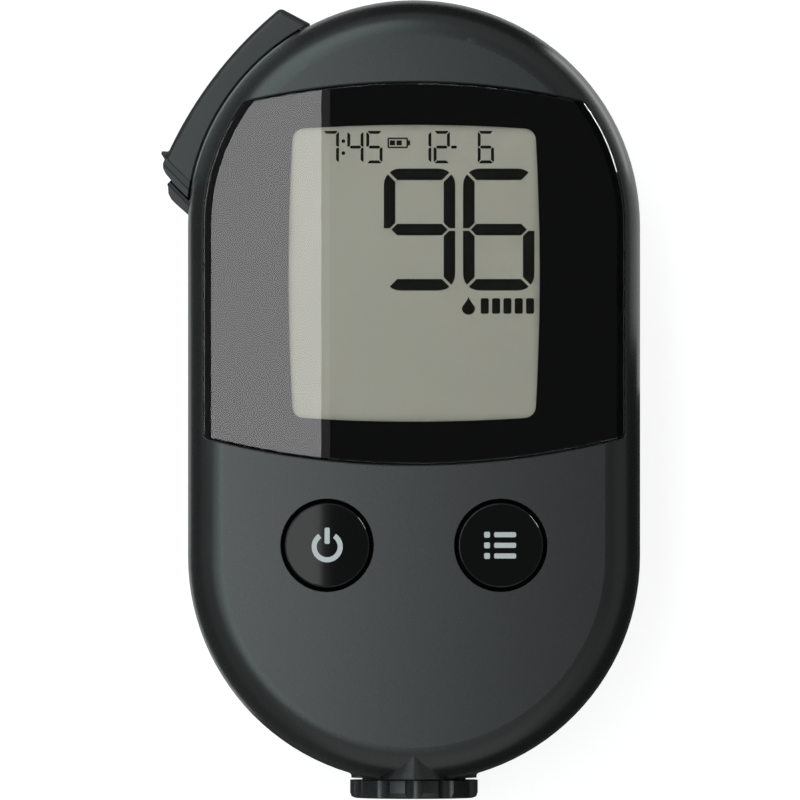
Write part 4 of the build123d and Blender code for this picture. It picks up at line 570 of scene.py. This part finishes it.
above = add_node(
    tree, "ShaderNodeMapRange", {0: height, 1: flange_edge[0], 2: flange_edge[1]}
).outputs[0]
mirror = add_node(tree, "ShaderNodeMapRange", {0: face, 3: FLANGE_MIRROR, 4: FACE_MIRROR}).outputs[0]
mirror = add_node(
    tree, "ShaderNodeMath", {0: bevel, 1: BEVEL_MIRROR, 2: mirror}, operation="MULTIPLY_ADD"
).outputs[0]
mirror = add_node(tree, "ShaderNodeMath", {0: mirror, 1: above}, operation="MULTIPLY").outputs[0]
bump = grained(tree, place, 3.0, 1.0, 0.02, 0.01, Normal=flat)
shell = add_node(
    tree,
    "ShaderNodeBsdfPrincipled",
    {"Base Color": linear("#0b0c0c"), "Roughness": level, "Specular IOR Level": mirror, "Normal": bump},
)
dress(key_finish, shell, "set_button", "memory_button")

# %% [markdown]
# ## The window
#
# The lens is a clear acrylic moulding. Black ink printed on its back leaves only the view of the
# display open, so the window reads as one black mirror with a pale field in it. The ink is a thin
# node of its own in the CAD model, right behind the lens.

# %% Clear acrylic
# The eye sees the soft box in it, and the display through it. Seen from inside, its faces bend nothing,
# because ink and glass are bonded to it. Along the foot of the bevel the normals lean outwards, as on
# an edge that is rounded there.
ACRYLIC_IOR = 1.49
EDGE_TILT = math.radians(32)
EDGE_BELOW_TOP = (0.86 * MM, 0.76 * MM)
SLOPE_LEAN = 0.45
SLOPE_SPREAD = 0.4
lens_finish, tree = new_finish("acrylic_clear_polished")
lens_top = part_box("display_lens")[1].z
surface = add_node(tree, "ShaderNodeNewGeometry").outputs
bonded = add_node(tree, "ShaderNodeMapRange", {0: surface["Backfacing"], 3: ACRYLIC_IOR}).outputs[0]
place = add_node(tree, "ShaderNodeTexCoord").outputs["Object"]
height = add_node(tree, "ShaderNodeSeparateXYZ", {0: place}).outputs["Z"]
edge_z = [lens_top - below for below in EDGE_BELOW_TOP]
at_edge = add_node(
    tree, "ShaderNodeMapRange", {0: height, 1: edge_z[0], 2: edge_z[1], 3: 1.0, 4: 0.0}
).outputs[0]
lean = add_node(tree, "ShaderNodeSeparateXYZ", {0: surface["Normal"]}).outputs["Z"]
on_slope = add_node(
    tree, "ShaderNodeMath", {0: lean, 1: SLOPE_LEAN, 2: SLOPE_SPREAD}, operation="COMPARE"
).outputs[0]
at_edge = add_node(tree, "ShaderNodeMath", {0: at_edge, 1: on_slope}, operation="MULTIPLY").outputs[0]
outward = add_node(
    tree, "ShaderNodeVectorMath", {0: surface["Normal"], 1: (1, 1, 0)}, operation="MULTIPLY"
).outputs[0]
outward = add_node(tree, "ShaderNodeVectorMath", {0: outward}, operation="NORMALIZE").outputs[0]
outward = add_node(
    tree, "ShaderNodeVectorMath", {0: outward, "Scale": math.sin(EDGE_TILT)}, operation="SCALE"
).outputs[0]
outward = add_node(
    tree, "ShaderNodeVectorMath", {0: outward, 1: (0, 0, math.cos(EDGE_TILT))}, operation="ADD"
).outputs[0]
rounded = add_node(
    tree, "ShaderNodeMix", {0: at_edge, 4: surface["Normal"], 5: outward}, data_type="VECTOR"
).outputs[1]
shell = add_node(
    tree,
    "ShaderNodeBsdfPrincipled",
    {
        "Base Color": linear("#fcfdfc"),
        "Roughness": 0.0,
        "IOR": bonded,
        "Transmission Weight": 1.0,
        "Normal": rounded,
    },
)
dress(lens_finish, shell, "display_lens")

# %% Black screen print behind the lens
# The eye sees a dead black with no grain, and a trace of the mesh it was printed through.
mask_finish, tree = new_finish("screen_print_black")
place = add_node(tree, "ShaderNodeTexCoord").outputs["Object"]
gloss = uneven_gloss(tree, place, 0.3, 1.0, (0.3, 0.7), (0.56, 0.6))
shell = add_node(
    tree,
    "ShaderNodeBsdfPrincipled",
    {"Base Color": linear("#060706"), "Roughness": gloss, "Specular IOR Level": 0.15},
)
dress(mask_finish, shell, "lens_mask")

# %% [markdown]
# The display is a reflective liquid crystal cell: two thin glasses with polarising film outside and a
# grey-green reflector behind. It looks like paper under glass, a little darker along its edges, where
# the shade of the mask and the frame is painted into its colour.

# %% Reflective liquid crystal cell
# The eye sees a pale grey-green field with the faint unevenness of the film. The distance from the
# middle of the field, in two directions, gives a soft painted shade along the rim. Each shade has its
# direction, half the field's size in mm, and the level that is left at the edge.
VIEW_MIDDLE_Y = 16.7
RIM_SHADES = (("X", 17.75, 0.72), ("Y", 20.9, 0.78))
RIM_SHADE_MM = 1.3
RIM_SPILL_MM = 0.3
lcd_finish, tree = new_finish("reflective_lcd_grey_green")
place = add_node(tree, "ShaderNodeTexCoord").outputs["Object"]
field = mottled(tree, place, 16.0, 3.0, "#8b847a", "#8f877e")
speckle = add_node(
    tree, "ShaderNodeTexNoise", {"Vector": place, "Scale": per_size(0.2), "Detail": 2.0}
).outputs["Fac"]
sparkle = add_node(
    tree, "ShaderNodeMapRange", {0: speckle, 1: 0.3, 2: 0.7, 3: 0.985, 4: 1.015}
).outputs[0]
centred = add_node(
    tree,
    "ShaderNodeMapping",
    {
        "Vector": place,
        "Location": (0, -VIEW_MIDDLE_Y, 0),
        "Scale": (per_size(1.0), per_size(1.0), per_size(1.0)),
    },
)
reach = add_node(tree, "ShaderNodeVectorMath", {0: centred.outputs[0]}, operation="ABSOLUTE").outputs[0]
across = add_node(tree, "ShaderNodeSeparateXYZ", {0: reach}).outputs
# Painted shade: the field's colour is darkened towards its rim.
shades = []
for axis, half, dimmest in RIM_SHADES:
    sockets = {0: across[axis], 1: half - RIM_SHADE_MM, 2: half + RIM_SPILL_MM, 3: 1.0, 4: dimmest}
    near_rim = add_node(tree, "ShaderNodeMapRange", sockets, interpolation_type="SMOOTHSTEP")
    shades.append(near_rim.outputs[0])
shade = add_node(tree, "ShaderNodeMath", dict(enumerate(shades)), operation="MULTIPLY").outputs[0]
shade = add_node(tree, "ShaderNodeMath", {0: shade, 1: sparkle}, operation="MULTIPLY").outputs[0]
field = add_node(tree, "ShaderNodeVectorMath", {0: field, "Scale": shade}, operation="SCALE").outputs[0]
shell = add_node(
    tree, "ShaderNodeBsdfPrincipled", {"Base Color": field, "Roughness": 0.5, "Specular IOR Level": 0.05}
)
dress(lcd_finish, shell, "lcd_cell")

# %% [markdown]
# ## Inside the case
#
# The moulded frames and the lancer's barrel are black ABS as it comes from a plain tool. The display's
# holder and the tape guide are white polycarbonate, the keypad is grey silicone rubber, and the two
# strips that join the glass to the board are rubber with fine carbon layers.

# %% Plain black ABS
# The eye sees a dull black with flow marks.
frame_finish, tree = new_finish("abs_plain_black")
place = add_node(tree, "ShaderNodeTexCoord").outputs["Object"]
flow = add_node(
    tree,
    "ShaderNodeTexNoise",
    {"Vector": place, "Scale": per_size(6.0), "Detail": 4.0, "Distortion": 1.5},
).outputs["Fac"]
tone = add_node(
    tree, "ShaderNodeMix", {0: flow, 6: linear("#141515"), 7: linear("#1e2020")}, data_type="RGBA"
).outputs[2]
bump = grained(tree, place, 0.4, 2.0, 0.3, 0.01)
shell = add_node(
    tree,
    "ShaderNodeBsdfPrincipled",
    {"Base Color": tone, "Roughness": 0.48, "IOR": 1.52, "Normal": bump},
)
dress(frame_finish, shell, "mid_frame", "optic_reader", "lancer_barrel")

# %% White polycarbonate
# The eye sees a milky, slightly shining white.
white_finish, tree = new_finish("polycarbonate_white")
place = add_node(tree, "ShaderNodeTexCoord").outputs["Object"]
tone = mottled(tree, place, 5.0, 2.0, "#cfd1cd", "#dcdeda")
shell = add_node(
    tree,
    "ShaderNodeBsdfPrincipled",
    {
        "Base Color": tone,
        "Roughness": 0.32,
        "IOR": 1.58,
        "Subsurface Weight": 0.15,
        "Subsurface Scale": 0.8 * MM,
    },
)
dress(white_finish, shell, "lcd_frame", "tape_guide")

# %% Silicone rubber
# The eye sees a matt, slightly dusty grey.
silicone_finish, tree = new_finish("silicone_rubber_grey")
place = add_node(tree, "ShaderNodeTexCoord").outputs["Object"]
tone = mottled(tree, place, 0.6, 4.0, "#737876", "#8a8f8d")
shell = add_node(
    tree,
    "ShaderNodeBsdfPrincipled",
    {"Base Color": tone, "Roughness": 0.62, "IOR": 1.41, "Sheen Weight": 0.15},
)
dress(silicone_finish, shell, "keypad_membrane")

# %% Layered conductive rubber
# The eye sees pale rubber with dark layers across it. They are 0.1 mm apart on the real strip and
# drawn coarser, about 3 mm apart.
zebra_finish, tree = new_finish("conductive_rubber_layered")
place = add_node(tree, "ShaderNodeTexCoord").outputs["Object"]
layers = add_node(
    tree,
    "ShaderNodeTexWave",
    {"Vector": place, "Scale": wave_scale(0.5), "Distortion": 0.3},
    wave_type="BANDS",
    bands_direction="X",
)
tone = add_node(
    tree,
    "ShaderNodeMix",
    {0: layers.outputs["Fac"], 6: linear("#161616"), 7: linear("#b9a6a0")},
    data_type="RGBA",
).outputs[2]
shell = add_node(tree, "ShaderNodeBsdfPrincipled", {"Base Color": tone, "Roughness": 0.7, "IOR": 1.41})
dress(zebra_finish, shell, "zebra_strips")

# %% [markdown]
# ## The circuit board
#
# The board is glass epoxy under green solder resist. Copper tracks show through it as paler bands that
# run square to each other, and a small weave of the glass cloth shows in the gloss. A brick pattern
# with thin mortar gives the square runs.

# %% Solder resist over copper tracks
# The eye sees glossy green with lighter tracks about 0.4 mm wide.
board_finish, tree = new_finish("solder_resist_green")
place = add_node(tree, "ShaderNodeTexCoord").outputs["Object"]
tracks = add_node(
    tree,
    "ShaderNodeTexBrick",
    {
        "Vector": place,
        "Color1": linear("#0c4a2c"),
        "Color2": linear("#0e5433"),
        "Mortar": linear("#2b8a58"),
        "Scale": 1.0,
        "Mortar Size": 0.2 * MM,
        "Mortar Smooth": 0.1,
        "Brick Width": 6.3 * MM,
        "Row Height": 2.1 * MM,
    },
    offset=0.37,
    squash=0.7,
)
gloss = uneven_gloss(tree, place, 0.5, 2.0, (0.3, 0.7), (0.18, 0.32))
bump = add_node(
    tree, "ShaderNodeBump", {"Height": tracks.outputs["Fac"], "Strength": 0.6, "Distance": 0.03 * MM}
).outputs[0]
shell = add_node(
    tree,
    "ShaderNodeBsdfPrincipled",
    {"Base Color": tracks.outputs["Color"], "Roughness": gloss, "IOR": 1.55, "Normal": bump},
)
dress(board_finish, shell, "main_board")

# %% Moulded chips
# The eye sees dark grey epoxy with a fine matt grain.
chip_finish, tree = new_finish("epoxy_moulded_black")
place = add_node(tree, "ShaderNodeTexCoord").outputs["Object"]
filler = add_node(
    tree, "ShaderNodeTexNoise", {"Vector": place, "Scale": per_size(0.12), "Detail": 3.0}
).outputs["Fac"]
tone = add_node(
    tree, "ShaderNodeMix", {0: filler, 6: linear("#1b1b1d"), 7: linear("#2c2c2e")}, data_type="RGBA"
).outputs[2]
bump = add_node(
    tree, "ShaderNodeBump", {"Height": filler, "Strength": 0.4, "Distance": 0.01 * MM}
).outputs[0]
shell = add_node(
    tree,
    "ShaderNodeBsdfPrincipled",
    {"Base Color": tone, "Roughness": 0.55, "IOR": 1.55, "Normal": bump},
)
dress(chip_finish, shell, "board_components")

# %% [markdown]
# ## Metal parts
#
# Screws, pins, the motor's can and the needle are plain steel with the fine marks of turning. The
# springs are drawn wire, darker and bluer from the heat that set them. Contacts, the buzzer and the
# pinion are nickel-plated, which is warmer and smoother.

# %% Turned steel
# The eye sees bright grey with hair-fine marks, drawn 0.15 mm apart.
steel_finish, tree = new_finish("steel_turned")
place = add_node(tree, "ShaderNodeTexCoord").outputs["Object"]
marks = add_node(
    tree,
    "ShaderNodeTexNoise",
    {"Vector": place, "Scale": per_size(0.15), "Detail": 4.0, "Roughness": 0.7},
).outputs["Fac"]
gloss = add_node(tree, "ShaderNodeMapRange", {0: marks, 1: 0.3, 2: 0.7, 3: 0.22, 4: 0.4}).outputs[0]
shell = add_node(
    tree,
    "ShaderNodeBsdfPrincipled",
    {"Base Color": linear("#b4b5b7"), "Metallic": 1.0, "Roughness": gloss},
)
dress(steel_finish, shell, "case_screws", "board_screws", "drive_motor", "door_hinge_pins", "lancet_needle")

# %% Drawn spring wire
# The eye sees dark, slightly blue metal with lighter streaks.
spring_finish, tree = new_finish("spring_wire_drawn")
place = add_node(tree, "ShaderNodeTexCoord").outputs["Object"]
tone = mottled(tree, place, 0.3, 3.0, "#73777d", "#9ea2a7")
shell = add_node(
    tree, "ShaderNodeBsdfPrincipled", {"Base Color": tone, "Metallic": 1.0, "Roughness": 0.28}
)
dress(spring_finish, shell, "battery_springs", "drive_spring", "return_spring")

# %% Nickel plate
# The eye sees a warm, even silver with a few dull clouds.
nickel_finish, tree = new_finish("nickel_plate")
place = add_node(tree, "ShaderNodeTexCoord").outputs["Object"]
gloss = uneven_gloss(tree, place, 1.2, 3.0, (0.35, 0.65), (0.14, 0.3))
shell = add_node(
    tree,
    "ShaderNodeBsdfPrincipled",
    {"Base Color": linear("#c9c4b8"), "Metallic": 1.0, "Roughness": gloss},
)
dress(nickel_finish, shell, "buzzer", "motor_pinion", "battery_contacts")

# %% [markdown]
# ## The test cassette
#
# The cassette is frosted polystyrene, so that the tape shows through as a shadow. The reels and gears
# are unfilled acetal, off-white and waxy. The tape is clear film with a strip of pale reagent fields.

# %% Frosted polystyrene
# The eye sees smoke-grey plastic with a soft, even haze.
cassette_finish, tree = new_finish("polystyrene_frosted_grey")
place = add_node(tree, "ShaderNodeTexCoord").outputs["Object"]
bump = grained(tree, place, 0.25, 2.0, 0.3, 0.008)
shell = add_node(
    tree,
    "ShaderNodeBsdfPrincipled",
    {"Base Color": linear("#9aa3a5"), "Roughness": 0.42, "IOR": 1.59, "Alpha": 0.82, "Normal": bump},
)
dress(cassette_finish, shell, "cassette_base", "cassette_lid")

# %% Waxy acetal
# The eye sees an off-white with a soft shine.
gear_finish, tree = new_finish("acetal_natural")
place = add_node(tree, "ShaderNodeTexCoord").outputs["Object"]
tone = mottled(tree, place, 2.0, 2.0, "#cdc9ba", "#dad7c9")
shell = add_node(
    tree,
    "ShaderNodeBsdfPrincipled",
    {
        "Base Color": tone,
        "Roughness": 0.36,
        "IOR": 1.48,
        "Subsurface Weight": 0.2,
        "Subsurface Scale": 1.0 * MM,
    },
)
dress(gear_finish, shell, "supply_reel", "take_up_reel", "drive_gear", "lancer_plunger")

# %% Reagent tape
# The eye sees pale film with broad yellowish fields.
tape_finish, tree = new_finish("polyester_tape_with_reagent_fields")
place = add_node(tree, "ShaderNodeTexCoord").outputs["Object"]
fields = add_node(
    tree,
    "ShaderNodeTexWave",
    {"Vector": place, "Scale": wave_scale(4.5), "Distortion": 0.0},
    wave_type="RINGS",
    rings_direction="Z",
)
edge = add_node(tree, "ShaderNodeMapRange", {0: fields.outputs["Fac"], 1: 0.45, 2: 0.55}).outputs[0]
tone = add_node(
    tree, "ShaderNodeMix", {0: edge, 6: linear("#dfe0da"), 7: linear("#e4d79a")}, data_type="RGBA"
).outputs[2]
shell = add_node(tree, "ShaderNodeBsdfPrincipled", {"Base Color": tone, "Roughness": 0.3, "IOR": 1.6})
dress(tape_finish, shell, "test_tape", "supply_tape_roll", "take_up_tape_roll")

# %% [markdown]
# ## Cells and lancet
#
# The cells wear a plain shrink sleeve, dark with a silver band at each end and no print. The lancet is
# soft polyethylene in the pale blue that marks single-use medical parts.

# %% Shrink sleeve
# The eye sees a glossy dark sleeve between two bright bands.
BAND_MM = 9.0
BAND_BLUR_MM = 0.05
cell_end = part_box("lower_cell")[1].x
cell_finish, tree = new_finish("pvc_shrink_sleeve")
place = add_node(tree, "ShaderNodeTexCoord").outputs["Object"]
along = add_node(tree, "ShaderNodeSeparateXYZ", {0: place}).outputs["X"]
reach = add_node(tree, "ShaderNodeMath", {0: along}, operation="ABSOLUTE").outputs[0]
band_edge = [cell_end - (BAND_MM + blur) * MM for blur in (BAND_BLUR_MM, -BAND_BLUR_MM)]
band = add_node(tree, "ShaderNodeMapRange", {0: reach, 1: band_edge[0], 2: band_edge[1]}).outputs[0]
tone = add_node(
    tree, "ShaderNodeMix", {0: band, 6: linear("#20262c"), 7: linear("#a9acae")}, data_type="RGBA"
).outputs[2]
bump = grained(tree, place, 3.0, 3.0, 0.3, 0.03)
shell = add_node(
    tree,
    "ShaderNodeBsdfPrincipled",
    {"Base Color": tone, "Roughness": 0.22, "IOR": 1.53, "Normal": bump},
)
dress(cell_finish, shell, "lower_cell", "upper_cell")

# %% Soft polyethylene
# The eye sees pale blue with a waxy sheen.
lancet_finish, tree = new_finish("polyethylene_pale_blue")
place = add_node(tree, "ShaderNodeTexCoord").outputs["Object"]
tone = mottled(tree, place, 1.5, 2.0, "#8fb6cd", "#a3c6da")
shell = add_node(
    tree,
    "ShaderNodeBsdfPrincipled",
    {
        "Base Color": tone,
        "Roughness": 0.4,
        "IOR": 1.51,
        "Subsurface Weight": 0.2,
        "Subsurface Scale": 1.0 * MM,
    },
)
dress(lancet_finish, shell, "lancet_body")

# %% [markdown]
# ## Digits on the display
#
# A seven-bar digit is one rounded plate cut into bars along the diagonals of its corners. One bar of
# each kind is trimmed from such a plate: the top bar, the upper left bar and the middle bar. The other
# four are their mirror images, so every bar of every digit starts as a copy of one of these three.


# %% Trimming a bar from a rounded plate
def only(piece):
    bpy.ops.object.select_all(action="DESELECT")
    piece.select_set(True)
    bpy.context.view_layer.objects.active = piece


def rounded_plate(width, length, corner):
    bpy.ops.object.select_all(action="DESELECT")
    bpy.ops.mesh.primitive_plane_add(size=1, location=(0, 0, 0))
    plate = bpy.context.object
    plate.scale = (width, length, 1)
    bpy.ops.object.transform_apply(location=False, rotation=False, scale=True)
    if corner > 0:
        bpy.ops.object.mode_set(mode="EDIT")
        bpy.ops.mesh.select_all(action="SELECT")
        bpy.ops.mesh.bevel(offset=corner, affect="VERTICES", segments=6)
        bpy.ops.object.mode_set(mode="OBJECT")
    return plate


def trim(plate, *cuts):
    only(plate)
    bpy.ops.object.mode_set(mode="EDIT")
    for point, away in cuts:
        bpy.ops.mesh.select_all(action="SELECT")
        bpy.ops.mesh.bisect(
            plane_co=(*point, 0), plane_no=(*away, 0), clear_outer=True, threshold=1e-7
        )
    bpy.ops.object.mode_set(mode="OBJECT")
    return plate


def digit_bars(width, length, bar, gap, corner):
    x = width / 2
    y = length / 2
    half_gap = gap / 2
    slant = gap / math.sqrt(2)
    top = trim(
        rounded_plate(width, length, corner),
        ((0, y - bar), (0, -1)),
        ((-x + slant, y), (-1, -1)),
        ((x - slant, y), (1, -1)),
    )
    side = trim(
        rounded_plate(width, length, corner),
        ((-x + bar, 0), (1, 0)),
        ((-x, y - slant), (1, 1)),
        ((0, half_gap), (0, -1)),
        ((-x + bar / 2, slant / 2), (1, -1)),
    )
    middle = trim(
        rounded_plate(width - bar, bar, 0),
        ((-x + bar / 2 + slant, 0), (-1, -1)),
        ((-x + bar / 2 + slant, 0), (-1, 1)),
        ((x - bar / 2 - slant, 0), (1, -1)),
        ((x - bar / 2 - slant, 0), (1, 1)),
    )
    for kind, piece in (("top", top), ("side", side), ("middle", middle)):
        piece.name = "bar_pattern_" + kind
    return {"top": top, "side": side, "middle": middle}


# %% Setting digits from the bars
BAR_PLACES = {
    "a": ("top", 1, 1),
    "b": ("side", -1, 1),
    "c": ("side", -1, -1),
    "d": ("top", 1, -1),
    "e": ("side", 1, -1),
    "f": ("side", 1, 1),
    "g": ("middle", 1, 1),
}
LIT_BARS = {
    "1": "bc",
    "2": "abged",
    "4": "fgbc",
    "5": "afgcd",
    "6": "afgcde",
    "7": "abc",
    "9": "abcdfg",
}


def set_down(piece, x, y, mirror=(1, 1)):
    """Moves a flat piece to x, y in mm, mirrored or not, and fixes it there."""
    only(piece)
    piece.scale = (*mirror, 1)
    piece.location = (x * MM, y * MM, 0)
    bpy.ops.object.transform_apply(location=True, rotation=False, scale=True)
    return piece


def copy_at(pattern, x, y, mirror=(1, 1)):
    """Sets a copy with its own mesh down at x, y in mm."""
    only(pattern)
    bpy.ops.object.duplicate(linked=False)
    return set_down(bpy.context.object, x, y, mirror)


def plate_at(x, y, width, length, corner):
    """A rounded plate with its middle at x, y, all in mm."""
    return set_down(rounded_plate(width * MM, length * MM, corner * MM), x, y)


def set_digit(digit, bars, x, y):
    made = []
    for letter in LIT_BARS[digit]:
        kind, *mirror = BAR_PLACES[letter]
        made.append(copy_at(bars[kind], x, y, mirror))
    return made


def remove(*patterns):
    for pattern in patterns:
        bpy.data.objects.remove(pattern)


def join(pieces, name):
    bpy.ops.object.select_all(action="DESELECT")
    for piece in pieces:
        piece.select_set(True)
    bpy.context.view_layer.objects.active = pieces[0]
    bpy.ops.object.join()
    joined = bpy.context.object
    joined.name = name
    joined.data.name = name
    return joined


def raise_plate(piece, low, high):
    """Turns flat plates at z = 0 into closed plates from low to high."""
    only(piece)
    bpy.ops.object.mode_set(mode="EDIT")
    bpy.ops.mesh.select_all(action="SELECT")
    bpy.ops.mesh.extrude_region_move(TRANSFORM_OT_translate={"value": (0, 0, high - low)})
    bpy.ops.mesh.select_all(action="SELECT")
    bpy.ops.mesh.normals_make_consistent(inside=False)
    bpy.ops.transform.translate(value=(0, 0, low))
    bpy.ops.object.mode_set(mode="OBJECT")
    print(piece.name, "has", len(piece.data.polygons), "faces")
    return piece


# %% [markdown]
# The meter shows a reading in two large digits and a row of small ones above it for the time and the
# date. Where the instrument has words, this one has signs: a cell beside the time, and under the
# reading a drop with a row of blocks, one for each tenth of the tape that is left.

# %% Large and small digits
BIG = {"width": 10.1, "length": 17.25, "bar": 1.64, "gap": 0.36, "corner": 2.3}
SMALL = {"width": 2.3, "length": 4.6, "bar": 0.42, "gap": 0.14, "corner": 0.4}
BIG_ROW_Y = 22.85
SMALL_ROW_Y = 34.5
READING = (("9", 0.78), ("6", 11.98))
CLOCK = (("7", -11.75), ("4", -8.28), ("5", -5.6))
DATE = (("1", 1.3), ("2", 3.92), ("6", 10.15))

big_bars = digit_bars(**{part: size * MM for part, size in BIG.items()})
small_bars = digit_bars(**{part: size * MM for part, size in SMALL.items()})
lit = []
for digit, x in READING:
    lit += set_digit(digit, big_bars, x, BIG_ROW_Y)
for digit, x in CLOCK + DATE:
    lit += set_digit(digit, small_bars, x, SMALL_ROW_Y)
remove(*big_bars.values(), *small_bars.values())
print("bars lit:", len(lit))

# %% Colon, dash and cell sign
COLON_X = -9.98
COLON_HALF = 0.85
COLON_DOT_R = 0.27
DASH_X = 5.65
DASH_SIZE = (0.8, SMALL["bar"], 0.12)
CELL_X = -2.3
CELL_Y = SMALL_ROW_Y + 0.6
CELL_SIZE = (2.9, 1.5, 0.2)
CELL_LINE = 0.22
CELL_INSIDE = ((1.6, 0.3, 0.7), (-0.75, 0.75, 0.7), (0.2, 0.75, 0.7))
dot = add_circle(16, COLON_DOT_R * MM)
for y in (SMALL_ROW_Y - COLON_HALF, SMALL_ROW_Y + COLON_HALF):
    lit.append(copy_at(dot, COLON_X, y))
remove(dot)
lit.append(plate_at(DASH_X, SMALL_ROW_Y, *DASH_SIZE))

outline = plate_at(0, 0, *CELL_SIZE)
bpy.ops.object.mode_set(mode="EDIT")
bpy.ops.mesh.select_all(action="SELECT")
bpy.ops.mesh.inset(thickness=CELL_LINE * MM)
bpy.ops.mesh.delete(type="FACE")
bpy.ops.object.mode_set(mode="OBJECT")
lit.append(set_down(outline, CELL_X, CELL_Y))
for shift, width, length in CELL_INSIDE:
    lit.append(plate_at(CELL_X + shift, CELL_Y, width, length, 0))

# %% Drop and blocks
BLOCK_X = 10.0
BLOCK_STEP = 1.6
BLOCK_ROW_Y = 12.05
BLOCK_SIZE = (1.15, 2.2, 0.25)
DROP_X = 7.7
DROP_Y = BLOCK_ROW_Y - 0.3
DROP_R = 0.95
DROP_WAIST = 1.6
DROP_STRETCH = 0.75
block = plate_at(0, 0, *BLOCK_SIZE)
for step in range(5):
    lit.append(copy_at(block, BLOCK_X + BLOCK_STEP * step, BLOCK_ROW_Y))
remove(block)

drop = add_circle(28, DROP_R * MM)
top_of_drop = max(v.co.y for v in drop.data.vertices)
for vertex in drop.data.vertices:
    rise = max(0.0, vertex.co.y / top_of_drop)
    vertex.co.x *= 1 - rise**DROP_WAIST
    vertex.co.y *= 1 + DROP_STRETCH * rise
lit.append(set_down(drop, DROP_X, DROP_Y))
print("plates on the display:", len(lit))

# %% Liquid crystal, switched on
# The eye sees a near-black olive with no shine of its own.
ink_finish, tree = new_finish("liquid_crystal_dark")
place = add_node(tree, "ShaderNodeTexCoord").outputs["Object"]
tone = mottled(tree, place, 0.4, 2.0, "#060602", "#0a0b05")
shell = add_node(
    tree, "ShaderNodeBsdfPrincipled", {"Base Color": tone, "Roughness": 0.6, "Specular IOR Level": 0.02}
)
dress(ink_finish, shell)

DIGIT_Z = (0.005 * MM, 0.03 * MM)
glass_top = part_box("lcd_cell")[1].z
digits = raise_plate(join(lit, "display_digits"), *(glass_top + z for z in DIGIT_Z))
digits.data.materials.append(ink_finish)
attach(digits, "case")

# %% [markdown]
# ## Signs on the keys
#
# The signs are a second shot of pale plastic, set flush into the black face. The left key has the ring
# with a bar that means on and set, and the right key three bars for the list of stored readings. The
# ring is a circle whose edge is drawn inwards and cut open at the top.

# %% Ring and bar of the left key
KEY_X = 12.27
KEY_Y = -21.77
RING_R = 2.2
RING_Y = KEY_Y - 0.2
OPENING = 36
STROKE = 0.72
STEM_LENGTH = 2.3
STEM_Y = KEY_Y + 1.35
STROKE_CORNER = 0.2
ring = add_circle(64, RING_R * MM, fill="NOTHING")
bpy.ops.object.mode_set(mode="EDIT")
bpy.ops.mesh.select_all(action="SELECT")
bpy.ops.mesh.extrude_region_move()
shrink = (RING_R - STROKE) / RING_R
bpy.ops.transform.resize(value=(shrink, shrink, 1), center_override=(0, 0, 0))
bpy.ops.object.mode_set(mode="OBJECT")
cut_between(ring, 90 - OPENING, 90 + OPENING)
left_sign = [
    set_down(ring, -KEY_X, RING_Y),
    plate_at(-KEY_X, STEM_Y, STROKE, STEM_LENGTH, STROKE_CORNER),
]

# %% Three bars of the right key
ROW_STEP = 1.5
BULLET = STROKE * 1.15
BULLET_X = KEY_X - 1.95
BAR_LENGTH = 3.1
BAR_X = KEY_X + 0.6
bullet = plate_at(0, 0, BULLET, BULLET, STROKE_CORNER)
bar = plate_at(0, 0, BAR_LENGTH, STROKE, STROKE_CORNER)
right_sign = []
for row in (-1, 0, 1):
    y = KEY_Y + ROW_STEP * row
    right_sign += [copy_at(bullet, BULLET_X, y), copy_at(bar, BAR_X, y)]
remove(bullet, bar)
print("plates on the keys:", len(left_sign), "and", len(right_sign))

# %% Pale second shot
# The eye sees a clean light grey, a little duller than the black round it.
sign_finish, tree = new_finish("abs_second_shot_light_grey")
place = add_node(tree, "ShaderNodeTexCoord").outputs["Object"]
tone = mottled(tree, place, 0.8, 2.0, "#a9aaab", "#b7b8b9")
shell = add_node(
    tree, "ShaderNodeBsdfPrincipled", {"Base Color": tone, "Roughness": 0.3, "Specular IOR Level": 0.3}
)
dress(sign_finish, shell)

SIGN_Z = (-0.05 * MM, 0.01 * MM)
key_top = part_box("set_button")[1].z
for pieces, name, body in (
    (left_sign, "set_key_sign", "set_key"),
    (right_sign, "memory_key_sign", "memory_key"),
):
    sign = raise_plate(join(pieces, name), *(key_top + z for z in SIGN_Z))
    sign.data.materials.append(sign_finish)
    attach(sign, body)

# %% [markdown]
# A thin black plate lies on the finger rest's lip, under the foot of the shutter. It is painted shade:
# it stands for the shadow in the slit between the two. It starts as a plate that is turned by 45
# degrees and cut off along the case's wall.

# %% Painted shade under the shutter's foot
SHADE_PLATE_SIZE = (3.9 * MM, 3.3 * MM)
SHADE_PLATE_CORNER = 0.3 * MM
SHADE_PLATE_TURN = math.radians(-45)
SHADE_PLATE_Z = (3.22 * MM, 3.42 * MM)
SHADE_PLATE_MIDDLE = (-32.75 * MM, 29.25 * MM)
WALL_POINT = (-31.75 * MM, 28.0 * MM)
WALL_AWAY = (0.989, -0.146)
shade_plate = rounded_plate(*SHADE_PLATE_SIZE, SHADE_PLATE_CORNER)
shade_plate.name = "foot_felt"
shade_plate.rotation_euler = (0, 0, SHADE_PLATE_TURN)
shade_plate.location = (*SHADE_PLATE_MIDDLE, 0)
bpy.ops.object.transform_apply(location=True, rotation=True, scale=True)
raise_plate(trim(shade_plate, (WALL_POINT, WALL_AWAY)), *SHADE_PLATE_Z)
# A dead black that stands for the shadow in the slit: painted shade.
shade_plate_finish, tree = new_finish("shade_plate_black")
dress(shade_plate_finish, add_node(tree, "ShaderNodeBsdfDiffuse", {"Color": linear("#0c0c0c")}))
shade_plate.data.materials.append(shade_plate_finish)
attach(shade_plate, "case")
print("the felt is", [round(v / MM, 2) for v in shade_plate.dimensions], "mm")
